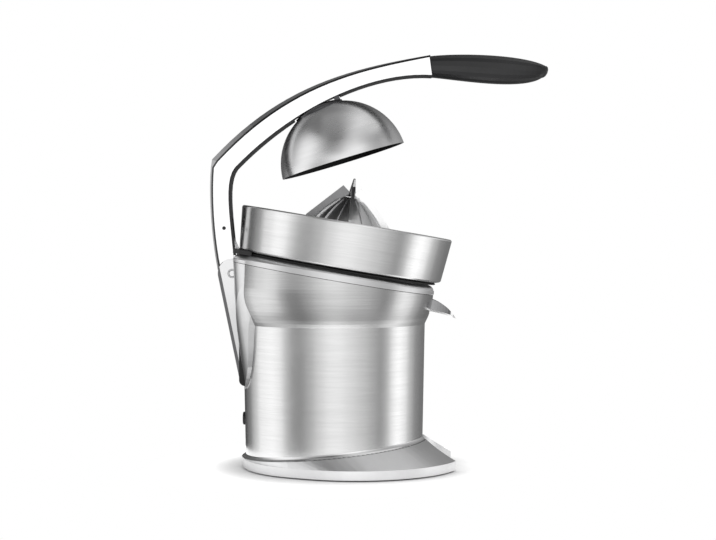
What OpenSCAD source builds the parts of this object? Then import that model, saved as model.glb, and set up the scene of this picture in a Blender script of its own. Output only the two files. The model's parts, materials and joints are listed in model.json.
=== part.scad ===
// Lever citrus juice press: a motor turns a ribbed cone in a tilted juice bowl,
// and a long lever on a four-bar linkage brings a pressing dome down over the fruit.
// Origin: the body's vertical axis at table level. +X is the spout side, +Z is up.

/* [Body] */
// Radius of the body shell at its foot
body_foot_r = 95.4; // [92:0.2:97]
// Radius of the body shell at the shoulder
body_shoulder_r = 98.1; // [97.5:0.1:99]
// Radius of the body shell at its widest, under the collar
body_top_r = 108.2; // [106:0.2:109]
// Height of the shoulder crease
shoulder_z = 155; // [150:1:160]
// Height at which the flare turns upright
flare_z = 195; // [190:1:200]
// Height of the slanted top edge, on the body's axis
body_top_z = 211.4; // [208:0.2:215]
// Thickness of the shell's sheet
shell_wall = 1.6; // [1:0.1:2.4]
// Slant of the bowl, the collar and the drive, down towards the front
tilt = 9.6; // [8:0.2:10.4]

/* [Base] */
// Radius of the base plan behind
base_rear_r = 103; // [101:0.5:104]
// Place of that arc's centre
base_rear_x = 5; // [4.5:0.25:6]
// Radius of the base plan in front
base_front_r = 112; // [110:0.5:114]
// Place of that arc's centre
base_front_x = 24; // [22:0.5:26]
// Height of the upright band round the base
band_h = 10.7; // [9:0.1:12]
// Gap between the table and the casting
base_lift = 1.2; // [0.8:0.1:2]
// Wall of the base casting
base_wall = 4; // [3:0.1:5]
// Radius of the notch for the glass
notch_r = 38; // [34:0.5:40]
// Place of the notch's centre
notch_x = 132; // [131:0.25:134]
// Height of the seam between the base and the shell, on the body's axis
seam_z = 28.4; // [27:0.2:31]
// Slant of that seam, up towards the front
seam_tilt = 5.5; // [4.5:0.1:6]
// Height of the fillet band under the seam
fillet_h = 7; // [6:0.1:8]
// Outer radius of the non-slip ring
foot_r = 86; // [80:0.5:87]
// Width of the non-slip ring
foot_w = 10; // [7:0.5:12]
// Height of the non-slip ring
foot_h = 3; // [2.4:0.1:3.4]

/* [Bowl] */
// Place of the juicing axis at the bowl's lower edge
bowl_x = 6.8; // [5.8:0.1:7.8]
// Height of the bowl's lower edge on that axis
bowl_z = 218.6; // [218.2:0.1:219.4]
// Radius of the bowl at its rim
bowl_rim_r = 114.5; // [112:0.25:115]
// Radius of the bowl at its lower edge
bowl_low_r = 110; // [107:0.25:111]
// Height of the bowl's side
bowl_h = 45.8; // [43:0.2:47]
// Radius of the bowl's flat underside
bowl_flat_r = 97; // [90:0.5:98]
// Depth of the bowl's underside below its lower edge
bowl_sink = 5; // [4.6:0.1:5.2]
// Thickness of the bowl's sheet
bowl_wall = 1.5; // [1:0.1:2]
// Radius of the strainer's floor
strainer_r = 80; // [70:0.5:82]
// Height of the strainer's floor over the bowl's lower edge
strainer_z = 12; // [10:0.25:13]
// Width of the strainer's slots
slot_w = 2.4; // [1.6:0.1:3]

/* [Reamer cone] */
// Radius of the cone at its skirt
cone_r = 50; // [46:0.5:52]
// Height of the skirt's edge over the bowl's lower edge
cone_low_z = 18; // [17:0.25:19]
// Height at which the ribbed body of the cone ends
cone_top_z = 76; // [72:0.5:78]
// Height of the tip
cone_tip_z = 93.8; // [90:0.2:94.6]
// Thickness of the tall fins
fin_t = 3.4; // [2.6:0.1:4]
// Number of tall fins
fin_count = 4; // [3:1:4]
// Number of low ribs between two fins
rib_count = 3; // [1:1:3]
// Height of the low ribs
rib_h = 1.8; // [1:0.1:2.4]
// Travel of the cone as fruit presses on it
press_travel = 2; // [1:0.1:2.4]

/* [Pressing dome] */
// Radius of the dome at its rim
dome_r = 68.3; // [66:0.1:69]
// Height of the dome
dome_h = 65; // [63.5:0.1:66]
// Thickness of the dome's sheet
dome_wall = 2; // [1.2:0.1:2.2]
// Height of the closed dome's rim over the bowl's lower edge
dome_seat_z = 33.5; // [33:0.1:34.5]

/* [Lever linkage] */
// Distance of the rocker's lower pivot in front of the bowl's rear edge
rocker_in = 12.5; // [12:0.1:13]
// Height of the rocker's lower pivot
rocker_z = 95; // [93:0.25:97]
// Distance behind the bowl of the knuckle, where the rocker carries the arm
knuckle_out = 1.4; // [1:0.1:2.2]
// Height of the knuckle
knuckle_z = 209; // [208:0.1:210]
// Distance behind the bowl of the upper pin, where the control link holds the arm
upper_out = 10; // [9.4:0.1:10.4]
// Height of the upper pin
upper_z = 257.6; // [256:0.1:259]
// Distance of the control link's fixed pivot in front of the bowl's rear edge
anchor_in = 4.7; // [4:0.1:5.6]
// Swing of the arm on the rocker, from raised to closed
arm_swing = 47.2; // [46:0.1:47.6]
// Outward swing of the rocker over the same stroke
rocker_swing = 20.6; // [20:0.1:21]
// Radius of the rocker's knuckle
knuckle_r = 15.5; // [14:0.1:16]
// Radius of the rocker's lower end
rocker_low_r = 6.2; // [5.8:0.1:6.8]

/* [Lever arm] */
// Distance of the elbow's outer corner behind the bowl
elbow_out = 23; // [22.5:0.1:24]
// Height of the elbow's outer corner
elbow_z = 331.1; // [328:0.1:334]
// Place of the seam between the arm and the grip
grip_seam_x = 102.4; // [98:0.2:106]
// Height of the arm's top at that seam
grip_seam_z = 442.7; // [440:0.1:444]
// Depth of the arm at that seam
arm_seam_depth = 22.4; // [20:0.1:24]
// Half of the arm's width
arm_half_w = 14; // [13.6:0.1:14.4]
// Wall of the arm's channel
arm_wall = 3; // [2.4:0.1:3.2]
// Height of the slanted band along the elbow's outer edge
band_elbow = 7.2; // [5:0.1:8]
// Height of that band at the grip
band_grip = 2.2; // [1.6:0.1:3]
// Length of the grip
grip_len = 125.8; // [120:0.2:130]
// Depth of the grip at its fullest
grip_depth = 31; // [28:0.2:33]
// Half of the grip's width at its fullest
grip_half_w = 17; // [15:0.2:18]

/* [Spout] */
// Place of the spout's tip
spout_tip_x = 131.6; // [130:0.2:133]
// Height of the spout's tip
spout_tip_z = 160; // [158:0.2:162]
// Place of the spout's hinge
spout_pin_x = 99; // [98.5:0.1:99.5]
// Height of the spout's hinge
spout_pin_z = 176; // [175.5:0.1:176.5]
// Half of the spout's width at the body
spout_half_w = 17; // [14:0.25:18]
// Wall of the spout
spout_wall = 1.8; // [1.4:0.1:2.2]

/* [Drive] */
// Module of the gears
gear_m = 1.5; // [1.4:0.02:1.54]
// Teeth of the gear on the spindle
gear_teeth = 42; // [42:14:42]
// Teeth of the motor's pinion
pinion_teeth = 14; // [14:14:14]
// Radius of the spindle
spindle_r = 5; // [4.5:0.1:5.4]
// Radius of the motor's can
can_r = 29; // [26:0.5:30]
// Length of the motor's can
can_len = 78; // [70:0.5:82]

/* [Hidden] */
$fn = 96;
// Overrun of every cut
cut = 1;
// Gap between pieces that slide past each other
play = 0.3;
// Gap between a shaft and its bore
fit = 0.05;
// Gap between pieces that are fixed to each other
seat = 0.1;
steel = "silver";
satin = "gainsboro";
black = "dimgray";

// Helpers

function bez(p, t) = pow(1 - t, 3) * p[0] + 3 * pow(1 - t, 2) * t * p[1]
    + 3 * (1 - t) * t * t * p[2] + pow(t, 3) * p[3];
function curve(p, n) = [for (i = [0:n]) bez(p, i / n)];
function mix(a, b, t) = a + (b - a) * t;
// Turn of a point in the side view about a centre, clockwise as seen with the spout on the right
function turned(p, c, a) = [
    c[0] + cos(a) * (p[0] - c[0]) + sin(a) * (p[1] - c[1]),
    c[1] - sin(a) * (p[0] - c[0]) + cos(a) * (p[1] - c[1])
];
function heading(a, b) = atan2(b[1] - a[1], b[0] - a[0]);

// A solid drawn in the side view, centred across the object
module side_slab(half_w) rotate([90, 0, 0]) linear_extrude(2 * half_w, center = true) children();
// The same on both sides at once, from one distance off the middle to another
module side_pair(from_y, to_y) {
    for (s = [-1, 1]) {
        translate([0, s * (from_y + to_y) / 2, 0]) side_slab((to_y - from_y) / 2) children();
    }
}
// A closed skin through rings of points, each ring flat, its ends closed by the convex pieces in caps
module loft(rings, caps = []) {
    m = len(rings[0]);
    n = len(rings);
    ends = len(caps) > 0 ? caps : [[for (j = [0:m - 1]) j]];
    sides = [for (i = [0:n - 2], j = [0:m - 1])
        [i * m + j, i * m + (j + 1) % m, (i + 1) * m + (j + 1) % m, (i + 1) * m + j]];
    polyhedron(
        points = [for (r = rings) each r],
        faces = concat(
            [for (e = ends) [for (j = [len(e) - 1:-1:0]) e[j]]],
            sides,
            [for (e = ends) [for (j = e) (n - 1) * m + j]]
        ),
        convexity = 6
    );
}
// Convex pieces of a channel's section: its two walls, its floor and the two corners between
channel_caps = [[0, 1, 8, 9], [1, 2, 8], [2, 3, 7, 8], [3, 4, 7], [4, 5, 6, 7]];
// A bar between two round ends of different radius, in the plane
module link_plan(a, ra, b, rb) {
    d = norm(b - a);
    u = (b - a) / d;
    k = (ra - rb) / d;
    h = sqrt(1 - k * k);
    up = [k * u[0] - h * u[1], k * u[1] + h * u[0]];
    dn = [k * u[0] + h * u[1], k * u[1] - h * u[0]];
    translate(a) circle(ra);
    translate(b) circle(rb);
    polygon([a + ra * up, a, a + ra * dn, b + rb * dn, b, b + rb * up]);
}
// The frame of the juicing axis: its zero is the bowl's lower edge
module on_axis() translate([bowl_x, 0, bowl_z]) rotate([0, tilt, 0]) children();
// The frame of the motor's axis
motor_off = gear_m * (gear_teeth + pinion_teeth) / 2;
module on_motor() on_axis() translate([motor_off, 0, 0]) children();

// Linkage, from its pivots

// The bowl's rear edge, behind which the arm stands
back = bowl_x - max(bowl_rim_r, bowl_low_r);
rocker_x = back + rocker_in;
knuckle_x = back - knuckle_out;
upper_x = back - upper_out;
anchor_x = back + anchor_in;
elbow_x = back - elbow_out;
rocker_pivot = [rocker_x, rocker_z];
knuckle = [knuckle_x, knuckle_z];
upper_pivot = [upper_x, upper_z];
function arm_closed(p) = turned(turned(p, knuckle, arm_swing), rocker_pivot, -rocker_swing);
upper_closed = arm_closed(upper_pivot);
// The link's fixed pivot is as far from the upper pin's open place as from its closed place
upper_mid = (upper_pivot + upper_closed) / 2;
upper_way = upper_closed - upper_pivot;
anchor = [anchor_x, upper_mid[1] - (anchor_x - upper_mid[0]) * upper_way[0] / upper_way[1]];
link_swing = heading(anchor, upper_closed) - heading(anchor, upper_pivot);
// What rides on the arm is drawn where it seats when closed, and carried back up
module raised() {
    translate([knuckle_x, 0, knuckle_z]) rotate([0, -arm_swing, 0])
        translate([rocker_x - knuckle_x, 0, rocker_z - knuckle_z]) rotate([0, rocker_swing, 0])
            translate([-rocker_x, 0, -rocker_z]) children();
}

// Base

fillet_r = 5;
fillet_count = 6;
bore_gap = 0.2;
ledge_z = 10;
ledge_t = 3;
ledge_w = 7;
base_rib_count = 8;
base_rib_t = 2.4;
plate_t = 1.6;
base_screw_r = 2.2;
base_screw_count = 4;
base_screw_pcr = 70;
base_screw_angle = 45;
boss_r = 5.5;
skirt_side_count = 72;
skirt_step = 0.4;
slice = 0.2;
skirt_h = 60;

module egg(inset) {
    ra = base_rear_r - inset;
    rb = base_front_r - inset;
    link_plan([base_rear_x, 0], ra, [base_front_x, 0], rb);
}
module on_seam(drop) translate([0, 0, seam_z]) rotate([0, -seam_tilt, 0]) translate([0, 0, -drop]) children();
module skirt(inset, drop) {
    hull() {
        translate([base_rear_x, 0, band_h - slice - drop]) cylinder(slice, r = base_rear_r - skirt_step - inset, $fn = skirt_side_count);
        translate([base_front_x, 0, band_h - slice - drop]) cylinder(slice, r = base_front_r - skirt_step - inset, $fn = skirt_side_count);
        on_seam(fillet_h + drop) cylinder(slice, r = body_foot_r + fillet_r - inset, $fn = skirt_side_count);
    }
}
module glass_notch(grow) translate([notch_x, 0, -cut]) cylinder(skirt_h, r = notch_r + grow);

module foot_ring() {
    color(black) difference() {
        cylinder(foot_h, r = foot_r);
        translate([0, 0, -cut]) cylinder(foot_h + 2 * cut, r = foot_r - foot_w);
    }
}
module on_base_screws(pcr) {
    for (i = [0:base_screw_count - 1]) rotate(base_screw_angle + i * 360 / base_screw_count) translate([pcr, 0, 0]) children();
}
module bottom_plate() {
    color(black) translate([0, 0, foot_h]) difference() {
        linear_extrude(plate_t) difference() {
            union() {
                translate([base_rear_x, 0]) circle(base_rear_r - base_wall - seat);
                translate([base_front_x, 0]) circle(base_front_r - base_wall - seat);
            }
            translate([notch_x, 0]) circle(notch_r + base_wall + seat);
        }
        on_base_screws(base_screw_pcr) translate([0, 0, -cut]) cylinder(plate_t + 2 * cut, r = base_screw_r + seat);
    }
}
base_screw_len = 6;
base_head_r = 3.6;
base_head_h = 1.4;
module base_screws() {
    color(steel) on_base_screws(base_screw_pcr) {
        translate([0, 0, foot_h - base_head_h]) cylinder(base_head_h, r = base_head_r);
        translate([0, 0, foot_h]) cylinder(base_screw_len, r = base_screw_r);
    }
}
module base_casting() {
    floor_z = foot_h + plate_t;
    color(satin) difference() {
        union() {
            translate([0, 0, base_lift]) linear_extrude(band_h - base_lift) egg(0);
            skirt(0, 0);
            on_seam(fillet_h) rotate_extrude() fillet_section();
        }
        glass_notch(0);
        difference() {
            union() {
                translate([0, 0, -cut]) linear_extrude(band_h - base_wall + cut) egg(base_wall);
                skirt(base_wall, base_wall);
            }
            glass_notch(base_wall);
            translate([0, 0, floor_z]) cylinder(skirt_h, r = body_foot_r + base_wall);
            for (i = [0:base_rib_count - 1]) rotate(180 / base_rib_count + i * 360 / base_rib_count)
                translate([body_foot_r, -base_rib_t / 2, floor_z]) cube([skirt_h, base_rib_t, skirt_h]);
        }
        body_solid(bore_gap);
        difference() {
            translate([0, 0, -cut]) cylinder(skirt_h, r = body_foot_r - ledge_w);
            on_base_screws(base_screw_pcr) boss(floor_z);
        }
        on_base_screws(base_screw_pcr) translate([0, 0, floor_z - cut])
            cylinder(base_screw_len + cut, r = base_screw_r + seat);
    }
}
// A screw boss with the web that ties it to the ledge
module boss(floor_z) {
    translate([0, 0, floor_z]) cylinder(ledge_z + ledge_t - floor_z, r = boss_r);
    translate([0, -base_rib_t / 2, floor_z])
        cube([body_foot_r - base_screw_pcr, base_rib_t, ledge_z + ledge_t - floor_z]);
}
module fillet_section() {
    r0 = body_foot_r;
    polygon(concat(
        [[r0 - base_wall, 0], [r0 - base_wall, fillet_h]],
        [for (i = [0:fillet_count]) let (a = i * 90 / fillet_count)
            [r0 + bore_gap + fillet_r * (1 - cos(a)), fillet_h * (1 - sin(a))]]
    ));
}

// Body shell

flare_count = 10;
// Radius of the arc that rounds the flare, from its rise and its reach
flare_rise = flare_z - shoulder_z;
flare_reach = body_top_r - body_shoulder_r;
flare_r = (flare_rise * flare_rise + flare_reach * flare_reach) / (2 * flare_reach);
shell_top = 250;
shell_low_z = ledge_z + ledge_t;
function flare_point(k, grow) = let (h = flare_rise * (1 - k))
    [body_top_r - flare_r + sqrt(flare_r * flare_r - h * h) + grow, flare_z - h];
function shell_side(grow) = concat(
    [[body_foot_r + grow, shell_low_z], [body_shoulder_r + grow, shoulder_z]],
    [for (i = [1:flare_count]) flare_point(i / flare_count, grow)],
    [[body_top_r + grow, shell_top]]
);
// The body's outside as a solid, swollen by a gap
module body_solid(grow) {
    s = shell_side(grow);
    rotate_extrude() polygon(concat([[0, shell_low_z]], s, [[0, shell_top]]));
}
// Everything above a slanted plane, given by its drop under the bowl's lower edge
big = 400;
module above(drop) on_axis() translate([-big / 2, -big / 2, -drop]) cube([big, big, big]);
// Drop of the body's slanted top edge under the bowl's lower edge
top_drop = (bowl_z - body_top_z) * cos(tilt) + bowl_x * sin(tilt);
collar_h = 7;
collar_drop = top_drop + collar_h;
collar_groove = 0.5;
column_half_w = 18;
column_slot = arm_half_w + 2 * play;
column_d = 26.7;
column_back = back + column_d;
column_block_r = 6.5;
column_low_z = rocker_z - column_block_r;
spout_open_z = 15;
module body_shell() {
    s = shell_side(0);
    inner = [for (p = s) [p[0] - shell_wall, p[1]]];
    color(steel) difference() {
        rotate_extrude() polygon(concat(s, backwards(inner)));
        above(collar_drop + collar_groove);
        translate([column_back - big, -column_half_w - seat, column_low_z - seat])
            cube([big, 2 * (column_half_w + seat), big]);
        translate([spout_pin_x - cut - shell_wall, -spout_half_w - 2 * play, spout_pin_z - spout_open_z * 2 / 3])
            cube([big, 2 * (spout_half_w + 2 * play), spout_open_z * 4 / 3]);
        rotate([0, -90, 0]) translate([gland_z, 0, 0]) cylinder(big, r = gland_r + seat);
    }
}

// Rear column, which holds the linkage

column_w = 66;
column_upper_flat = 30;
column_upper_r = 30;
column_lower_flat = 22;
column_lower_r = 40;
column_rear_in = 0.3;
column_knee_in = 4.7;
column_foot_in = 12.3;
column_rear_x = back + column_rear_in;
column_knee_x = back + column_knee_in;
column_knee_z = 146;
column_foot_x = back + column_foot_in;
column_foot_z = 89;
column_top_z = 228;
leaf_high_w = 60;
leaf_high_z = 175;
leaf_upper_w = 44;
leaf_upper_z = 150;
leaf_lower_w = 58;
leaf_lower_z = 98;
leaf_low_w = 22;
leaf_low_z = 85.5;
leaf_count = 14;
slot_low_r = 9;
lug_r = 6;
lug_in = 3.4;
lug_out = 6.6;
pin_r = 3;
rocker_pin_r = 3.4;

// The column's plan as an upright prism, flat behind and rounded to the sides, hung on a rear line
module column_prism(x, z, lean, flat, round_r) {
    translate([x, 0, z]) rotate([0, lean, 0]) translate([0, 0, -big / 2]) linear_extrude(big) intersection() {
        union() {
            translate([0, -flat]) square([big, 2 * flat]);
            for (s = [-1, 1]) translate([round_r, s * flat]) circle(round_r);
        }
        translate([0, -column_w]) square([-x, 2 * column_w]);
    }
}
module column_outside() {
    upper_lean = -atan2(column_knee_x - column_rear_x, column_top_z - column_knee_z);
    lower_lean = -atan2(column_foot_x - column_knee_x, column_knee_z - column_foot_z);
    intersection() {
        column_prism(column_knee_x, column_knee_z, upper_lean, column_upper_flat, column_upper_r);
        column_prism(column_knee_x, column_knee_z, lower_lean, column_lower_flat, column_lower_r);
        rotate([90, 0, 90]) translate([0, 0, -big]) linear_extrude(big) leaf();
    }
}
module leaf() {
    edge = curve([[leaf_high_w, leaf_high_z], [leaf_upper_w, leaf_upper_z], [leaf_lower_w, leaf_lower_z],
        [leaf_low_w, leaf_low_z]], leaf_count);
    polygon(concat([[column_w, shell_top], [column_w, leaf_high_z + column_w - leaf_high_w]], edge,
        [for (p = backwards(edge)) [-p[0], p[1]]],
        [[-column_w, leaf_high_z + column_w - leaf_high_w], [-column_w, shell_top]]));
}
module arm_slot() {
    translate([column_back - column_wall - big, -column_slot, 0]) {
        translate([0, 0, rocker_z]) cube([big, 2 * column_slot, big]);
    }
    translate([rocker_x, 0, rocker_z]) side_slab(column_slot) {
        circle(slot_low_r);
        translate([-big, 0]) square([big + column_back - column_wall - rocker_x, big]);
        translate([-big, -slot_low_r]) square([big, slot_low_r]);
    }
}
column_wall = 3;
// The block behind the slot, which goes through the shell and up inside the collar
module channel_block() {
    front = column_back - rocker_x + column_block_r;
    difference() {
        side_slab(column_half_w) translate(rocker_pivot) {
            circle(column_block_r);
            translate([0, -column_block_r]) square([column_back - rocker_x, column_block_r + cut]);
            translate([-column_block_r, 0]) square([front, big / 2]);
        }
        above(deck_top);
        difference() {
            above(collar_drop + seat);
            on_ring() translate([0, 0, -big / 2]) cylinder(big, r = collar_in_r - seat);
        }
    }
}
module rear_column() {
    color(satin) difference() {
        union() {
            difference() {
                union() {
                    difference() {
                        column_outside();
                        body_solid(seat);
                        above(collar_drop + collar_groove);
                    }
                    channel_block();
                }
                arm_slot();
            }
            side_pair(lug_in, lug_out) link_plan(anchor, lug_r, [column_back - lug_r, anchor[1]], lug_r);
        }
        translate([rocker_x, 0, rocker_z]) rotate([90, 0, 0]) cylinder(2 * pin_half, r = rocker_pin_r, center = true);
        translate([anchor[0], 0, anchor[1]]) rotate([90, 0, 0]) cylinder(2 * lug_out + cut, r = pin_r, center = true);
    }
}
pin_half = 17.4;
module rocker_pin() {
    color(steel) translate([rocker_x, 0, rocker_z]) rotate([90, 0, 0]) cylinder(2 * pin_half, r = rocker_pin_r, center = true);
}
module anchor_pin() {
    color(steel) translate([anchor[0], 0, anchor[1]]) rotate([90, 0, 0]) cylinder(2 * lug_out, r = pin_r, center = true);
}
spring_wire = 1.3;
spring_r = 5.5;
spring_turn_count = 6;
spring_half = 8;
spring_leg = 40;
spring_side_count = 6;
spring_step_count = 10;
// Torsion spring round the lower pivot: a helix whose last ring runs on as a straight leg
module return_spring() {
    n = spring_turn_count * spring_step_count;
    path = concat(
        [for (i = [0:n]) let (a = 90 + i * 360 / spring_step_count)
            [spring_r * cos(a), mix(-spring_half, spring_half, i / n), spring_r * sin(a)]],
        [[-spring_leg / 2, spring_half, spring_r], [-spring_leg, spring_half, spring_r]]
    );
    color(steel) translate([rocker_x, 0, rocker_z]) rotate([0, spring_leg_angle, 0]) tube(path, spring_wire / 2);
}
spring_leg_angle = 84;
// A round wire along a path, its rings held square to the way on
module tube(path, r) {
    n = len(path);
    loft([for (i = [0:n - 1])
        let (
            d = path[min(i + 1, n - 1)] - path[max(i - 1, 0)],
            w = d / norm(d),
            s = cross(w, [0, 1, 0]) / norm(cross(w, [0, 1, 0])),
            u = cross(s, w)
        )
        [for (j = [0:spring_side_count - 1]) let (a = -j * 360 / spring_side_count)
            path[i] + r * (cos(a) * s + sin(a) * u)]
    ]);
}

// Collar, cap and deck

collar_in_r = 101.4;
collar_lip = 6.2;
collar_round = 5.6;
collar_count = 6;
ring_back = 5.25;
module on_ring() on_axis() translate([-ring_back, 0, 0]) children();
module top_collar() {
    color(satin) difference() {
        intersection() {
            union() {
                body_solid(0);
                column_outside();
            }
            above(collar_drop);
            on_ring() rotate_extrude() polygon(concat(
                [[0, -collar_drop - cut], [body_top_r + 2 * collar_round, -collar_drop - cut]],
                [[body_top_r + 2 * collar_round, -collar_lip - collar_round]],
                [for (i = [0:collar_count]) let (a = i * 90 / collar_count)
                    [collar_in_r + (body_top_r + cut - collar_in_r) * cos(a), -collar_lip - collar_round * (1 - sin(a))]],
                [[0, -collar_lip]]
            ));
        }
        on_ring() translate([0, 0, -big / 2]) cylinder(big, r = collar_in_r);
        arm_slot();
    }
}
cap_h = 4.6;
cap_in = 4;
cap_w = 50;
module column_cap() {
    color(black) difference() {
        intersection() {
            column_outside();
            above(collar_lip - seat);
            on_ring() translate([-body_top_r - cut, -cap_w, -collar_lip]) cube([body_top_r, 2 * cap_w, cap_h]);
        }
        on_ring() translate([0, 0, -big / 2]) cylinder(big, r = collar_in_r + play);
        on_axis() rotate_extrude() polygon(concat([[0, -bowl_sink - play]],
            [for (p = bowl_under(play)) p], [[0, play]]));
        arm_slot();
    }
}
deck_top = bowl_sink + play;
deck_t = 4;
deck_skirt = 9;
chimney_r = 10.4;
chimney_z = 17;
bush_r = 8;
pillar_r = 4;
pillar_pcr = 52;
pillar_count = 3;
gear_z = -34;
gear_w = 9;
bracket_z = -52;
bracket_t = 3;
nozzle_x = 84;
nozzle_r = 8;
deck_slot_w = 24;
module deck() {
    color(black) difference() {
        union() {
            on_ring() translate([0, 0, -deck_top - deck_t]) cylinder(deck_t, r = collar_in_r - seat);
            on_ring() translate([0, 0, -deck_top - deck_skirt]) difference() {
                cylinder(deck_skirt - deck_t / 2, r = collar_in_r - seat);
                translate([0, 0, -cut]) cylinder(deck_skirt + 2 * cut, r = collar_in_r - deck_t);
            }
            on_axis() translate([0, 0, -deck_top - deck_skirt]) cylinder(chimney_z + deck_top + deck_skirt, r = chimney_r);
        }
        on_axis() translate([0, 0, -big / 2]) cylinder(big, r = bush_r);
        on_axis() translate([nozzle_x, 0, -big / 2]) cylinder(big, r = nozzle_r + bowl_wall + play);
        arm_slot();
        deck_relief();
    }
}
// Room in the deck for the linkage's lugs and slot
module deck_relief() {
    translate([column_back - big + seat, -column_half_w - seat, 0]) cube([big, 2 * (column_half_w + seat), big]);
}

// Bowl and strainer

lip_r = 2.2;
hub_r = 15;
hub_z = 15;
bowl_rib_count = 6;
bowl_rib_t = 2;
bowl_rib_in = 30;
nozzle_len = 9;
round_count = 8;
// The bowl's underside from its flat to its lower edge, swollen by a gap
function bowl_under(grow) = [
    [bowl_flat_r, -bowl_sink - grow],
    [bowl_low_r - bowl_wall, -bowl_wall - grow],
    [bowl_low_r + grow, 0]
];
module juice_bowl() {
    w = bowl_wall;
    lip_z = bowl_h - lip_r;
    out = concat(
        bowl_under(0),
        [for (i = [0:round_count]) let (a = i * 180 / round_count)
            [bowl_rim_r - lip_r + lip_r * cos(a), lip_z + lip_r * sin(a)]]
    );
    in = [[bowl_rim_r - 2 * lip_r, lip_z - lip_r / 2], [bowl_rim_r - w - lip_r / 4, lip_z - lip_r], [bowl_low_r - w, w], [bowl_flat_r, -bowl_sink + w], [hub_r, -bowl_sink + w], [hub_r, hub_z],
        [hub_r - 2 * w, hub_z], [hub_r - 2 * w, -bowl_sink]];
    color(steel) on_axis() difference() {
        union() {
            rotate_extrude() polygon(concat(out, in));
            translate([nozzle_x, 0, -bowl_sink - nozzle_len]) cylinder(nozzle_len + w, r = nozzle_r + w);
            for (i = [0:bowl_rib_count - 1]) rotate((i + 1 / 2) * 360 / bowl_rib_count)
                translate([bowl_rib_in, -bowl_rib_t / 2, -bowl_sink])
                    cube([strainer_r - bowl_rib_in, bowl_rib_t, bowl_sink + strainer_z - seat]);
        }
        translate([nozzle_x, 0, -big / 2]) cylinder(big, r = nozzle_r);
    }
}
strainer_t = 1;
strainer_rim_r = 89;
strainer_rim_z = 29;
strainer_in_r = 18;
strainer_lip = 3;
slot_ring_count = 3;
slot_len = 11;
slot_first_r = 30;
slot_step_r = 16;
slot_gap = 6.5;
module strainer() {
    t = strainer_t;
    color(steel) on_axis() difference() {
        rotate_extrude() polygon([
            [strainer_in_r, strainer_z], [strainer_r, strainer_z], [strainer_rim_r, strainer_rim_z - t],
            [strainer_rim_r + strainer_lip, strainer_rim_z - t], [strainer_rim_r + strainer_lip, strainer_rim_z],
            [strainer_rim_r - t, strainer_rim_z], [strainer_r - t, strainer_z + t],
            [strainer_in_r + t, strainer_z + t], [strainer_in_r + t, strainer_z + strainer_lip],
            [strainer_in_r, strainer_z + strainer_lip]
        ]);
        for (k = [0:slot_ring_count - 1]) {
            r = slot_first_r + k * slot_step_r;
            n = floor(2 * PI * (r + slot_len / 2) / slot_gap / 2);
            for (i = [0:n - 1]) rotate(i * 360 / n) translate([r, -slot_w / 2, strainer_z - cut])
                cube([slot_len, slot_w, t + 2 * cut]);
        }
    }
}

// Spout and the duct that feeds it

duct_wall = 2;
duct_half_w = 14;
duct_in_x = 68;
duct_top_z = 198;
duct_low_z = 178;
duct_end_x = 96;
spout_pin_r = 1.5;
spout_ear = 3;
module drain_duct() {
    color(black) difference() {
        union() {
            side_slab(duct_half_w) duct_side(0);
            duct_ears();
        }
        difference() {
            side_slab(duct_half_w - duct_wall) duct_side(duct_wall);
        }
        above(deck_top + deck_skirt + seat);
        translate([spout_pin_x, 0, spout_pin_z]) rotate([90, 0, 0]) cylinder(big, r = spout_pin_r, center = true);
    }
}
module duct_side(w) {
    polygon([[duct_in_x + w, big / 2], [duct_in_x + w, duct_low_z + duct_wall + w], [duct_end_x + w / duct_wall * cut, duct_low_z - duct_wall + w],
        [duct_end_x + w / duct_wall * cut, big / 2]]);
}
module duct_ears() {
    side_pair(duct_half_w - spout_ear, duct_half_w)
        link_plan([duct_end_x - spout_ear, spout_pin_z + spout_ear], spout_ear, [spout_pin_x, spout_pin_z], spout_ear);
}
module spout_pin() {
    color(steel) translate([spout_pin_x, 0, spout_pin_z]) rotate([90, 0, 0])
        cylinder(2 * (spout_half_w - spout_wall - play), r = spout_pin_r, center = true);
}
spout_top_shares = [[0, 1], [0.32, 0.98], [0.72, 0.72], [0.97, 0.06]];
spout_low_shares = [[0, 0.42], [0.36, 0.34], [0.62, 0.26], [1, 0]];
spout_root_z = 183;
spout_count = 12;
spout_round = 5;
module spout() {
    root = [spout_pin_x - spout_back, spout_tip_z];
    span = [spout_tip_x - root[0], spout_root_z - spout_tip_z];
    top = curve([for (s = spout_top_shares) [root[0] + s[0] * span[0], root[1] + s[1] * span[1]]], spout_count);
    low = curve([for (s = spout_low_shares) [root[0] + s[0] * span[0], root[1] + s[1] * span[1]]], spout_count);
    color(steel) difference() {
        loft([for (i = [0:spout_count]) let (
            k = i / spout_count,
            w = spout_half_w * sqrt(1 - pow(k * spout_nose_share, 4))
        ) trough_ring(low[i], top[i], w)], channel_caps);
        translate([spout_pin_x, 0, spout_pin_z]) rotate([90, 0, 0]) cylinder(big, r = spout_pin_r + fit, center = true);
    }
}
spout_nose_share = 0.97;
spout_back = 4;
// One ring of an open trough, from its low line to its top line
function trough_ring(a, b, w) = let (
    h = norm(b - a),
    u = (b - a) / h,
    t = min(spout_wall, h / 2, w / 3)
) [for (q = [[-w, h], [-w, t], [-w + t, 0], [w - t, 0], [w, t], [w, h], [w - t, h], [w - t, t], [-w + t, t], [-w + t, h]])
    [a[0] + u[0] * q[1], q[0], a[1] + u[1] * q[1]]];

// Drive

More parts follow.
